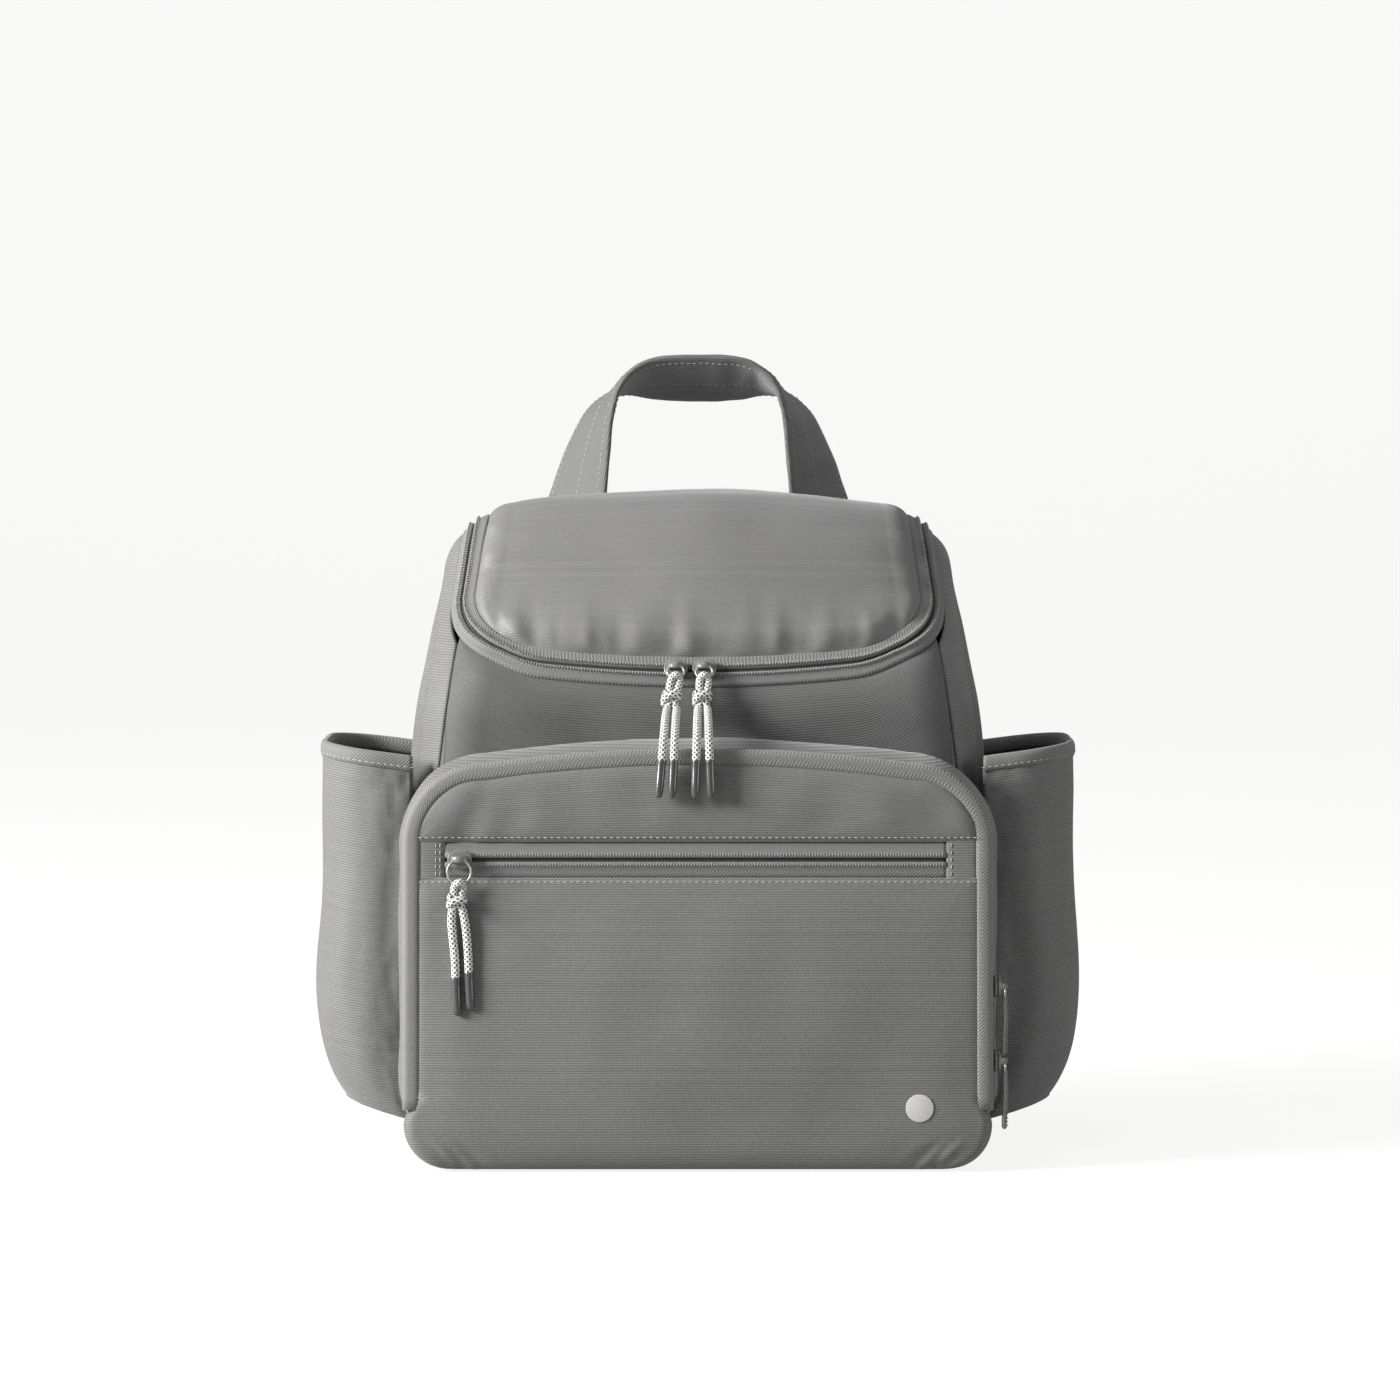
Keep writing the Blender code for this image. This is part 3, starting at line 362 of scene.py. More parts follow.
@dataclass(frozen=True)
class SolidFinish:
    """Painted metal, moulded plastic, board or thread, with fine grain and uneven wear."""

    name: str
    level: float
    roughness: float
    grain: float = 900.0
    relief: float = 0.02 * MM
    uneven: float = 0.12
    coat: float = 0.0
    metallic: float = 0.0

    def make(self) -> bpy.types.Material:
        """The material."""
        shader = Shader(self.name)
        where = shader.place()
        grain = shader.cloud(where, self.grain, 3.0)
        wear = shader.cloud(where, self.grain * 0.12, 4.0)
        tone = (wear * (2 * self.uneven) + (1 - self.uneven)) * (grain * 0.1 + 0.95)
        colour = shader.mixed(tone, grey(0.0), grey(self.level))
        rough = wear * 0.14 + (self.roughness - 0.07)
        return shader.finish(colour, rough, grain, self.relief, Metallic=self.metallic,
                             Coat_Weight=self.coat, Coat_Roughness=0.2)


@dataclass(frozen=True)
class BraidedCord:
    """Round braided cord: a pale lattice of strands with dark diamonds between."""

    name: str
    pale: float = 0.80
    dark: float = 0.085
    round_count: int = 5
    pitch: float = 2.3 * MM

    def make(self) -> bpy.types.Material:
        """The material. Its cloth coordinates are the share round the cord and metres along it."""
        shader = Shader(self.name)
        place, around, along = shader.weave()
        turn = around * float(self.round_count)
        run = along / self.pitch
        one = (turn + run).math("FRACT") - 0.5
        two = (turn - run).math("FRACT") - 0.5
        strand_one = one.math("ABSOLUTE").over(0.30, 0.10)
        strand_two = two.math("ABSOLUTE").over(0.30, 0.10)
        lattice = strand_one.math("MAXIMUM", strand_two)
        fibre = ((turn + run) * (TAU * 3.0)).wave()
        fuzz = shader.cloud(place, 900.0, 2.0)
        colour = shader.mixed(lattice, grey(self.dark), grey(self.pale))
        colour = shader.mixed(fibre * 0.22 * fuzz, colour, grey(0.05))
        height = lattice * 0.8 + fibre * 0.15
        return shader.finish(colour, 0.75, height, 0.35 * MM, Sheen_Weight=0.2, Specular_IOR_Level=0.3)


class Finish(Enum):
    """Every finish of the bag, with the record's slot it answers to."""

    RIBBED = (RibCloth("ribbed cloth"), "ribbed_fabric")
    LID = (RibCloth("lid cloth", level=0.150, groove=0.80, relief=0.10 * MM, roughness=0.5, sheen=0.25),
           "ribbed_fabric")
    LONGWISE = (RibCloth("handle cloth", level=0.120, turned=True, groove=0.66), "ribbed_fabric")
    # Darker copy of the ribbed cloth for the upper front panel: painted shade below the lid's zip.
    FRONT = (RibCloth("front cloth painted shade", level=0.105), "ribbed_fabric")
    TWILL = (TwillTape("zip tape"), "zip_tape")
    EDGING = (TwillTape("edge tape", level=0.20, herringbone=True), "zip_tape")
    DARK_CLOTH = (RibCloth("base cloth", level=0.055, pitch=2.0 * MM), "base_cloth")
    LINING = (PlainCloth("lining", 0.20), "lining")
    WEBBING = (PlainCloth("webbing", 0.13, 1.6 * MM, 0.25 * MM), "webbing")
    THREAD = (SolidFinish("thread", 0.36, 0.7), "ribbed_fabric")
    TAPE_THREAD = (SolidFinish("zip thread", 0.27, 0.7), "zip_tape")
    # The zip's coil is real, but its near-black colour is painted shade of the gap between the tapes.
    COIL_PAINTED_SHADE = (SolidFinish("zip coil painted shade", 0.04, 0.5), "zip_tape")
    PAINTED = (SolidFinish("painted metal", 0.16, 0.34, 1400.0, 0.006 * MM, 0.08, 0.35), "painted_metal")
    WIRE = (SolidFinish("ring wire", 0.33, 0.30, 1400.0, 0.006 * MM, 0.08, 0.2, 0.35), "painted_metal")
    BUCKLE = (SolidFinish("buckle plastic", 0.075, 0.42), "buckle_plastic")
    TIP = (SolidFinish("cord tip", 0.060, 0.22, 700.0, 0.008 * MM, 0.10, 0.5), "cord_tip")
    CORD = (BraidedCord("patterned cord"), "patterned_cord")
    BOARD = (SolidFinish("stiffener board", 0.10, 0.6), "board")
    BADGE = (SolidFinish("badge print", 0.50, 0.5), "badge_print")
    TAB = (TwillTape("pull tab", level=0.16), "pull_tab")

    def material(self) -> bpy.types.Material:
        """The finish's material, made once."""
        recipe = self.value[0]
        return bpy.data.materials.get(recipe.name) or recipe.make()


# ---- mesh writing ----
def place_piece(obj: bpy.types.Object, body: str, replaces: Sequence[str] = ()
                ) -> bpy.types.Object:
    """Ride a finished piece on its body and say what it stands for.

    Args:
        obj: the piece.
        body: the body it moves with.
        replaces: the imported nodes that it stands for.
    Returns:
        The piece.
    """
    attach(obj, body)
    if replaces:
        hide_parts(*replaces)
    LOG.info("%s: %d faces, on %s", obj.name, len(obj.data.polygons), body)
    return obj


def baked(obj: bpy.types.Object) -> bpy.types.Object:
    """Apply every modifier of an object."""
    depsgraph = bpy.context.evaluated_depsgraph_get()
    mesh = bpy.data.meshes.new_from_object(obj.evaluated_get(depsgraph))
    obj.modifiers.clear()
    obj.data = mesh
    mesh.name = obj.name
    return obj


@dataclass
class Sheet:
    """A grid of points made into a mesh, with cloth coordinates in metres."""

    name: str
    rows: Rows
    finish: Finish
    thickness: float = 0.0
    inner: Finish | None = None
    wrap: bool = False          # each row closes on itself
    loop: bool = False          # the last row meets the first
    caps: bool = False
    inside: Vector = field(default_factory=lambda: INSIDE.copy())
    around: bool = False        # cloth coordinates hold the share round the row
    level_rows: bool = False    # ribs keep to the rows

    def coordinates(self) -> tuple[Rows, int]:
        """Cloth coordinates for each row and column, one more column where rows close."""
        count = len(self.rows[0])
        extra = count + 1 if self.wrap else count
        high = len(self.rows)
        middle = count // 2
        across = []
        for row in self.rows:
            run = [0.0]
            for j in range(1, extra):
                run.append(run[-1] + (row[j % count] - row[j - 1]).length)
            if self.around:
                run = [j / count for j in range(extra)]
            else:
                run = [value - run[middle] for value in run]
            across.append(run)
        along = [[0.0] * extra for _ in range(high)]
        for i in range(1, high):
            for j in range(extra):
                k = middle if (self.level_rows or self.around) else j % count
                step = (self.rows[i][k] - self.rows[i - 1][k]).length
                along[i][j] = along[i - 1][j] + step
        return [[(across[i][j], along[i][j]) for j in range(extra)] for i in range(high)], extra

    def build(self) -> bpy.types.Object:
        """The object, with its wall applied."""
        uv, extra = self.coordinates()
        high, count = len(self.rows), len(self.rows[0])
        mesh_data = bmesh.new()
        layer = mesh_data.loops.layers.uv.new(WEAVE)
        verts = [[mesh_data.verts.new(p) for p in row] for row in self.rows]
        for i in range(high if self.loop else high - 1):
            for j in range(extra - 1):
                corners = [(i, j), (i, j + 1), (i + 1, j + 1), (i + 1, j)]
                ring = [verts[a % high][b % count] for a, b in corners]
                if len({tuple(v.co) for v in ring}) < 3:
                    continue
                face = mesh_data.faces.new(ring)
                face.smooth = True
                for loop, (a, b) in zip(face.loops, corners):
                    loop[layer].uv = uv[min(a, high - 1)][b]
        if self.caps:
            for ring, row in ((verts[0], uv[0]), (verts[-1], uv[-1])):
                face = mesh_data.faces.new(ring)
                for loop, place in zip(face.loops, row):
                    loop[layer].uv = place
        bmesh.ops.remove_doubles(mesh_data, verts=mesh_data.verts, dist=1e-6)
        if self.wrap and (self.caps or self.loop):
            bmesh.ops.recalc_face_normals(mesh_data, faces=mesh_data.faces)
        else:
            mesh_data.normal_update()
            lean = sum(face.normal.dot(face.calc_center_median() - self.inside) * face.calc_area()
                       for face in mesh_data.faces)
            if lean < 0:
                bmesh.ops.reverse_faces(mesh_data, faces=mesh_data.faces)
        mesh = bpy.data.meshes.new(self.name)
        mesh_data.to_mesh(mesh)
        mesh_data.free()
        obj = linked(self.name, mesh)
        mesh.materials.append(self.finish.material())
        if self.inner:
            mesh.materials.append(self.inner.material())
        if self.thickness:
            wall = obj.modifiers.new("wall", "SOLIDIFY")
            wall.thickness = self.thickness
            wall.offset = -1.0
            wall.material_offset = 1 if self.inner else 0
            baked(obj)
        return obj

    def placed(self, body: str, nodes: Sequence[str] = ()) -> bpy.types.Object:
        """The object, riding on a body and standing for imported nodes."""
        return place_piece(self.build(), body, nodes)


def tube_rows(path: Points, radii: Sequence[float], sides: int) -> Rows:
    """Rings round a path, without twist.

    Args:
        path: the middle line.
        radii: a radius for each point.
        sides: points round each ring.
    Returns:
        One row of points for each point of the path.
    """
    rows = []
    way = (path[1] - path[0]).normalized()
    side = way.orthogonal().normalized()
    for i, (place, radius) in enumerate(zip(path, radii)):
        new_way = beside(path, i).normalized()
        side = way.rotation_difference(new_way) @ side
        way = new_way
        other = way.cross(side)
        rows.append([place + side * (radius * math.cos(TAU * k / sides))
                     + other * (radius * math.sin(TAU * k / sides)) for k in range(sides)])
    return rows


def closed(name: str, rows: Rows, finish: Finish) -> Sheet:
    """A closed form of rings, with a cap at each end."""
    return Sheet(name, rows, finish, wrap=True, caps=True)


def lined(name: str, rows: Rows, finish: Finish, wall: float) -> Sheet:
    """A cloth of a thickness with a lining inside, its weave level."""
    return Sheet(name, rows, finish, wall, Finish.LINING, level_rows=True)


def tube(name: str, path: Points, radius: float | Sequence[float], finish: Finish, sides: int = 12,
         loop: bool = False) -> bpy.types.Object:
    """A round rod, wire or cord along a path, closed at its ends or into a loop."""
    radii = radius if isinstance(radius, (list, tuple)) else [radius] * len(path)
    if loop:
        middle = sum(path, Vector()) / len(path)
        normal = (path[0] - middle).cross(path[len(path) // 4] - middle).normalized()
        rows = []
        for i, (place, size) in enumerate(zip(path, radii)):
            along = (path[(i + 1) % len(path)] - path[i - 1]).normalized()
            side = along.cross(normal).normalized()
            rows.append([place + side * (size * math.cos(TAU * k / sides))
                         + normal * (size * math.sin(TAU * k / sides)) for k in range(sides)])
        return Sheet(name, rows, finish, wrap=True, loop=True, around=True).build()
    return Sheet(name, tube_rows(path, radii, sides), finish, wrap=True, caps=True, around=True).build()


def merged(name: str, parts: Sequence[bpy.types.Object]) -> bpy.types.Object:
    """One object from several, with all their finishes."""
    finishes: list[bpy.types.Material] = []
    whole = bmesh.new()
    for part in parts:
        lookup = []
        for mat in part.data.materials:
            if mat not in finishes:
                finishes.append(mat)
            lookup.append(finishes.index(mat))
        before = len(whole.faces)
        whole.from_mesh(part.data)
        whole.faces.ensure_lookup_table()
        for face in whole.faces[before:]:
            face.material_index = lookup[face.material_index] if lookup else 0
        mesh = part.data
        bpy.data.objects.remove(part, do_unlink=True)
        bpy.data.meshes.remove(mesh)
    mesh = bpy.data.meshes.new(name)
    whole.to_mesh(mesh)
    whole.free()
    for mat in finishes:
        mesh.materials.append(mat)
    obj = linked(name, mesh)
    return obj


def block(name: str, outline: Sequence[tuple[float, float]], low: float, high: float, turn: Matrix,
          finish: Finish, bevel: float) -> bpy.types.Object:
    """A flat-sided shape with softened edges.

    Args:
        name: the piece's name.
        outline: its outline in the frame's X and Y.
        low: where it starts along Z.
        high: where it ends along Z.
        turn: its frame.
        finish: its finish.
        bevel: width of the softened edge.
    Returns:
        The object.
    """
    mesh_data = bmesh.new()
    base = mesh_data.faces.new([mesh_data.verts.new((x, y, low)) for x, y in outline])
    grown = bmesh.ops.extrude_face_region(mesh_data, geom=[base])["geom"]
    lifted = [item for item in grown if isinstance(item, bmesh.types.BMVert)]
    bmesh.ops.translate(mesh_data, vec=(0, 0, high - low), verts=lifted)
    bmesh.ops.recalc_face_normals(mesh_data, faces=mesh_data.faces)
    sharp = [edge for edge in mesh_data.edges if edge.calc_face_angle(0.0) > 0.7]
    bmesh.ops.bevel(mesh_data, geom=sharp, offset=bevel, segments=3, affect="EDGES", profile=0.5)
    mesh_data.transform(turn)
    bmesh.ops.recalc_face_normals(mesh_data, faces=mesh_data.faces)
    layer = mesh_data.loops.layers.uv.new(WEAVE)
    for face in mesh_data.faces:
        face.smooth = True
        for loop in face.loops:
            loop[layer].uv = (loop.vert.co.x, loop.vert.co.z + loop.vert.co.y)
    mesh = bpy.data.meshes.new(name)
    mesh_data.to_mesh(mesh)
    mesh_data.free()
    mesh.set_sharp_from_angle(angle=math.radians(45))
    mesh.materials.append(finish.material())
    obj = linked(name, mesh)
    return obj


def round_box(half_x: float, low_y: float, high_y: float, radius: float, count: int = 6
              ) -> list[tuple[float, float]]:
    """Outline of a rectangle with round corners."""
    centres = ((half_x - radius, low_y + radius, -90), (half_x - radius, high_y - radius, 0),
               (-half_x + radius, high_y - radius, 90), (-half_x + radius, low_y + radius, 180))
    return [(x + radius * math.cos(math.radians(start + 90 * k / count)),
             y + radius * math.sin(math.radians(start + 90 * k / count)))
            for x, y, start in centres for k in range(count + 1)]


# ---- what repeats along a seam ----
class SeamRepeat:
    """Geometry nodes that set one small rounded bar after another along a line."""

    tree: bpy.types.NodeTree | None = None
    FLOATS = ("Pitch", "Length", "Width", "Height", "Uneven")

    @classmethod
    def nodes(cls) -> bpy.types.NodeTree:
        """The node tree, made once."""
        if cls.tree:
            return cls.tree
        tree = bpy.data.node_groups.new("bars_along_seam", "GeometryNodeTree")
        sockets = tree.interface
        sockets.new_socket("Line", in_out="INPUT", socket_type="NodeSocketGeometry")
        for name in cls.FLOATS:
            sockets.new_socket(name, in_out="INPUT", socket_type="NodeSocketFloat")
        sockets.new_socket("Seed", in_out="INPUT", socket_type="NodeSocketInt")
        sockets.new_socket("Finish", in_out="INPUT", socket_type="NodeSocketMaterial")
        sockets.new_socket("Bars", in_out="OUTPUT", socket_type="NodeSocketGeometry")

        def add(kind: str, **settings: object) -> bpy.types.Node:
            """One node with its settings."""
            made = tree.nodes.new(kind)
            for key, value in settings.items():
                setattr(made, key, value)
            return made

        def link(source: bpy.types.NodeSocket, target: bpy.types.NodeSocket) -> None:
            """One link."""
            tree.links.new(source, target)

        given = add("NodeGroupInput")
        curve = add("GeometryNodeMeshToCurve")
        spots = add("GeometryNodeCurveToPoints", mode="LENGTH")
        out = add("GeometryNodeInputNamedAttribute", data_type="FLOAT_VECTOR")
        out.inputs["Name"].default_value = "out"
        turn = add("FunctionNodeAxesToRotation", primary_axis="Z", secondary_axis="X")
        bar = add("GeometryNodeMeshUVSphere")
        bar.inputs["Segments"].default_value = 6
        bar.inputs["Rings"].default_value = 4
        bar.inputs["Radius"].default_value = 0.5
        size = add("ShaderNodeCombineXYZ")
        chance = add("FunctionNodeRandomValue", data_type="FLOAT")
        swing = add("ShaderNodeMath", operation="MULTIPLY_ADD")
        swing.inputs[2].default_value = 1.0
        scale = add("ShaderNodeVectorMath", operation="SCALE")
        copies = add("GeometryNodeInstanceOnPoints")
        real = add("GeometryNodeRealizeInstances")
        soft = add("GeometryNodeSetShadeSmooth")
        dress = add("GeometryNodeSetMaterial")
        result = add("NodeGroupOutput")
        chance.inputs["Min"].default_value = -1.0
        link(given.outputs["Line"], curve.inputs[0])
        link(curve.outputs[0], spots.inputs["Curve"])
        link(given.outputs["Pitch"], spots.inputs["Length"])
        link(out.outputs["Attribute"], turn.inputs[0])
        link(spots.outputs["Tangent"], turn.inputs[1])
        for source, target in (("Length", "X"), ("Width", "Y"), ("Height", "Z")):
            link(given.outputs[source], size.inputs[target])
        link(given.outputs["Seed"], chance.inputs["Seed"])
        link(chance.outputs["Value"], swing.inputs[0])
        link(given.outputs["Uneven"], swing.inputs[1])
        link(size.outputs[0], scale.inputs[0])
        link(swing.outputs[0], scale.inputs["Scale"])
        link(spots.outputs["Points"], copies.inputs["Points"])
        link(bar.outputs["Mesh"], copies.inputs["Instance"])
        link(turn.outputs[0], copies.inputs["Rotation"])
        link(scale.outputs[0], copies.inputs["Scale"])
        link(copies.outputs[0], real.inputs[0])
        link(real.outputs[0], soft.inputs[0])
        link(soft.outputs[0], dress.inputs[0])
        link(given.outputs["Finish"], dress.inputs["Material"])
        link(dress.outputs[0], result.inputs[0])
        for output in chance.outputs:
            if output.enabled and output.name == "Value":
                link(output, swing.inputs[0])
        cls.tree = tree
        return tree


@dataclass(frozen=True)
class Bars:
    """Sizes of what repeats along a seam."""

    pitch: float
    length: float
    width: float
    height: float
    finish: Finish
    uneven: float = 0.06
    seed: int = 3

    def along(self, name: str, lines: Sequence[tuple[Points, Points]]) -> bpy.types.Object:
        """Bars along lines.

        Args:
            name: the piece's name.
            lines: for each line its points, and the way out of the cloth at each.
        Returns:
            The piece as a plain mesh.
        """
        points: list[Vector] = []
        outs: list[Vector] = []
        edges: list[tuple[int, int]] = []
        for line, out in lines:
            first = len(points)
            points += line
            outs += out
            edges += [(first + k, first + k + 1) for k in range(len(line) - 1)]
        mesh = bpy.data.meshes.new(name)
        mesh.from_pydata(points, edges, [])
        ways = mesh.attributes.new("out", "FLOAT_VECTOR", "POINT")
        for item, way in zip(ways.data, outs):
            item.vector = way
        obj = linked(name, mesh)
        modifier = obj.modifiers.new("bars", "NODES")
        modifier.node_group = SeamRepeat.nodes()
        values = {"Pitch": self.pitch, "Length": self.length, "Width": self.width,
                  "Height": self.height, "Uneven": self.uneven, "Seed": self.seed,
                  "Finish": self.finish.material()}
        for item in modifier.node_group.interface.items_tree:
            if item.item_type == "SOCKET" and item.name in values and item.in_out == "INPUT":
                modifier[item.identifier] = values[item.name]
        baked(obj)
        if not obj.data.materials:
            obj.data.materials.append(self.finish.material())
        return obj


TOPSTITCH = Bars(3.1 * MM, 2.1 * MM, 0.55 * MM, 0.45 * MM, Finish.THREAD)
TAPE_STITCH = Bars(1.35 * MM, 0.62 * MM, 1.9 * MM, 0.75 * MM, Finish.TAPE_THREAD)
LOW_STITCH = Bars(1.35 * MM, 0.62 * MM, 1.5 * MM, 0.6 * MM, Finish.TAPE_THREAD)
TAB_STITCH = Bars(1.7 * MM, 1.1 * MM, 0.4 * MM, 0.3 * MM, Finish.THREAD)
STITCH_ROW = 0.0023         # from a zip's middle to the stitches of its tape
PIN = 0.0052                # from a zip's face to the pin that its pull hangs from


def seam_outs(rows: Callable[[float, float], Vector], points: Sequence[tuple[float, float]]
              ) -> tuple[Points, Points]:
    """Points of a surface, and the way out of it at each.

    Args:
        rows: surface point from two numbers.
        points: pairs of those numbers.
    Returns:
        The points and the outward ways.
    """
    line, outs = [], []
    small = 0.0008
    for a, b in points:
        here = rows(a, b)
        one = rows(a + small, b) - rows(a - small, b)
        two = rows(a, b + small) - rows(a, b - small)
        out = one.cross(two).normalized()
        if out.dot(here - INSIDE) < 0:
            out = -out
        line.append(here)
        outs.append(out)
    return line, outs


# ---- the body's form ----
@dataclass
class BodyForm:
    """Side view and rounded edges of the main body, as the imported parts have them."""

    half: float = 0.136
    half_top: float = 0.122
    taper_z: float = 0.184
    taper_end: float = 0.294
    corner: float = 0.030
    shoulder: float = 0.034
    top_z: float = 0.3135
    front_y: float = -0.0475
    back_y: float = 0.0625
    slope_z: float = 0.222
    slope_r: float = 0.050
    shoulder_y: float = 0.008
    crown: float = 0.006
    foot: float = 0.0043
    zip_z: float = 0.232
    zip_angle: float = math.radians(39)
    zip_corner: float = 0.0425
    zip_arch: float = 0.9
    seam_angle: float = math.radians(38)
    tape: float = 0.0073
    hinge_y: float = 0.042

    def __post_init__(self) -> None:
        """Work out the side view and the zip's track."""
        self.segments = self.side_view()
        self.length = sum(segment[1] for segment in self.segments)
        self.s_zip = self.s_where(lambda y, z: z >= self.zip_z or y > 0)
        self.s_hinge = self.s_where(lambda y, z: y >= self.hinge_y)
        self.s_back = self.s_where(lambda y, z: y >= self.back_y - 0.0001)
        self.s_corner = self.s_zip + self.zip_corner
        self.turn_c = self.flat(self.s_corner) + self.corner * self.zip_angle - self.zip_corner
        self.run = (self.turn_c, self.turn_c + self.zip_corner * math.pi / 2)
        self.track_length = self.run[1] + self.s_hinge - self.s_corner

    def side_view(self) -> list[tuple]:
        """Lines and bends of the side view: start, length, way and radius."""
        corners = [Vector(p) for p in ((self.front_y, self.foot), (self.front_y, self.slope_z),
                                       (self.shoulder_y, self.top_z), (self.back_y, self.top_z),
                                       (self.back_y, self.foot))]
        found = []
        start = corners[0]
        bends = (self.slope_r, self.shoulder, self.shoulder)
        for before, corner, after, radius in zip(corners, corners[1:], corners[2:], bends):
            way_in, way_out = (corner - before).normalized(), (after - corner).normalized()
            turn = way_in.angle(way_out)
            reach = radius * math.tan(turn / 2)
            found.append((start, (corner - way_in * reach - start).length, way_in, 0.0))
            found.append((corner - way_in * reach, radius * turn, way_in, radius))
            start = corner + way_out * reach
        found.append((start, (corners[-1] - start).length, (corners[-1] - start).normalized(), 0.0))
        return found

    def outline_at(self, s: float) -> tuple[Vector, Vector]:
        """Place (y, z) and inward way of the side view, s along it."""
        for segment in self.segments:
            if s <= segment[1] or segment is self.segments[-1]:
                break
            s -= segment[1]
        start, _, way, radius = segment
        inward = Vector((way.y, -way.x))
        if not radius:
            return start + way * s, inward
        angle = s / radius
        turned = Vector((inward.x * math.cos(angle) + inward.y * math.sin(angle),
                         inward.y * math.cos(angle) - inward.x * math.sin(angle)))
        return start + inward * radius - turned * radius, turned

    def s_where(self, test: Callable[[float, float], bool]) -> float:
        """First distance along the side view that passes a test of y and z."""
        low, high = 0.0, self.length
        for _ in range(40):
            middle = (low + high) / 2
            if test(*self.outline_at(middle)[0]):
                high = middle
            else:
                low = middle
        return high

    def half_width(self, z: float) -> float:
        """Half width at a height."""
        fall = (self.half - self.half_top) / (self.taper_end - self.taper_z)
        return self.half - fall * max(0.0, z - self.taper_z)

    def flat(self, s: float) -> float:
        """Half width of the flat part between the rounded edges."""
        return self.half_width(self.outline_at(s)[0].y) - self.corner

    def skin(self, c: float, s: float, depth: float = 0.0) -> Vector:
        """Surface point, c across from the middle and s along the side view."""
        place, inward = self.outline_at(s)
        side, across = math.copysign(1.0, c), abs(c)
        flat = self.flat(s)
        share = min(max((s - self.s_zip) / 0.05, 0.0), 1.0) * min(max((self.s_back - s) / 0.03, 0.0), 1.0)
        fall = self.crown * share * min(across / flat, 1.0) ** 2
        angle = min(max(across - flat, 0.0) / self.corner, math.pi / 2)
        straight = max(across - flat - self.corner * math.pi / 2, 0.0)
        sink = self.corner - (self.corner - depth) * math.cos(angle) + straight + fall
        y, z = place + inward * sink
        x = min(across, flat) + (self.corner - depth) * math.sin(angle)
        x += (self.half_width(z) - self.half_width(place.y)) * math.sin(angle)
        return Vector((side * x, y, z))

    def arched(self, c: float, s: float) -> float:
        """s lifted by the front zip run's arch."""
        reach = min(abs(c), self.turn_c + 0.02)
        return s + self.zip_arch * reach ** 2 * max(0.0, 1 - abs(s - self.s_zip) / 0.08)

    def track(self, q: float, outward: float) -> tuple[float, float]:
        """Chart place on the lid zip, q along it from the middle, moved away from the lid."""
        side, q = math.copysign(1.0, q), abs(q)
        if q <= self.run[0]:
            c, s = q, self.s_zip - outward
        elif q <= self.run[1]:
            angle = (q - self.run[0]) / self.zip_corner
            c = self.turn_c + (self.zip_corner + outward) * math.sin(angle)
            s = self.s_corner - (self.zip_corner + outward) * math.cos(angle)
        else:
            s = self.s_corner + q - self.run[1]
            c = self.flat(s) + self.corner * self.zip_angle + outward
        return side * c, s

    def on_track(self, q: float, outward: float, depth: float = 0.0) -> Vector:
        """Point on the lid zip."""
        c, s = self.track(q, outward)
        return self.skin(c, self.arched(c, s), depth)

    def under_track(self, c: float, outward: float) -> float:
        """s of the zip's lower edge at c."""
        c = abs(c)
        if c <= self.turn_c:
            return self.s_zip - outward
        radius = self.zip_corner + outward
        return self.s_corner - math.sqrt(max(radius ** 2 - (c - self.turn_c) ** 2, 0.0))

    def back_edge(self, s: float) -> float:
        """c where the back panel ends."""
        share = min(max((s - self.s_hinge - 0.009) / 0.02, 0.0), 1.0)
        return self.flat(s) + self.corner * self.zip_angle + self.tape * (1 - share)

    def side_start(self, s: float) -> float:
        """c where the side panel begins."""
        seam_gap = 0.0004
        if s >= self.s_hinge:
            return self.back_edge(s) + seam_gap
        if s >= self.s_corner:
            return self.track(self.run[1] + s - self.s_corner, self.tape)[0] + seam_gap
        seam = self.flat(s) + self.corner * self.seam_angle + seam_gap
        radius = self.zip_corner + self.tape + seam_gap
        if s <= self.s_corner - radius:
            return seam
        turn = self.turn_c + math.sqrt(max(radius ** 2 - (self.s_corner - s) ** 2, 0.0))
        return max(seam, turn)


BODY = BodyForm()


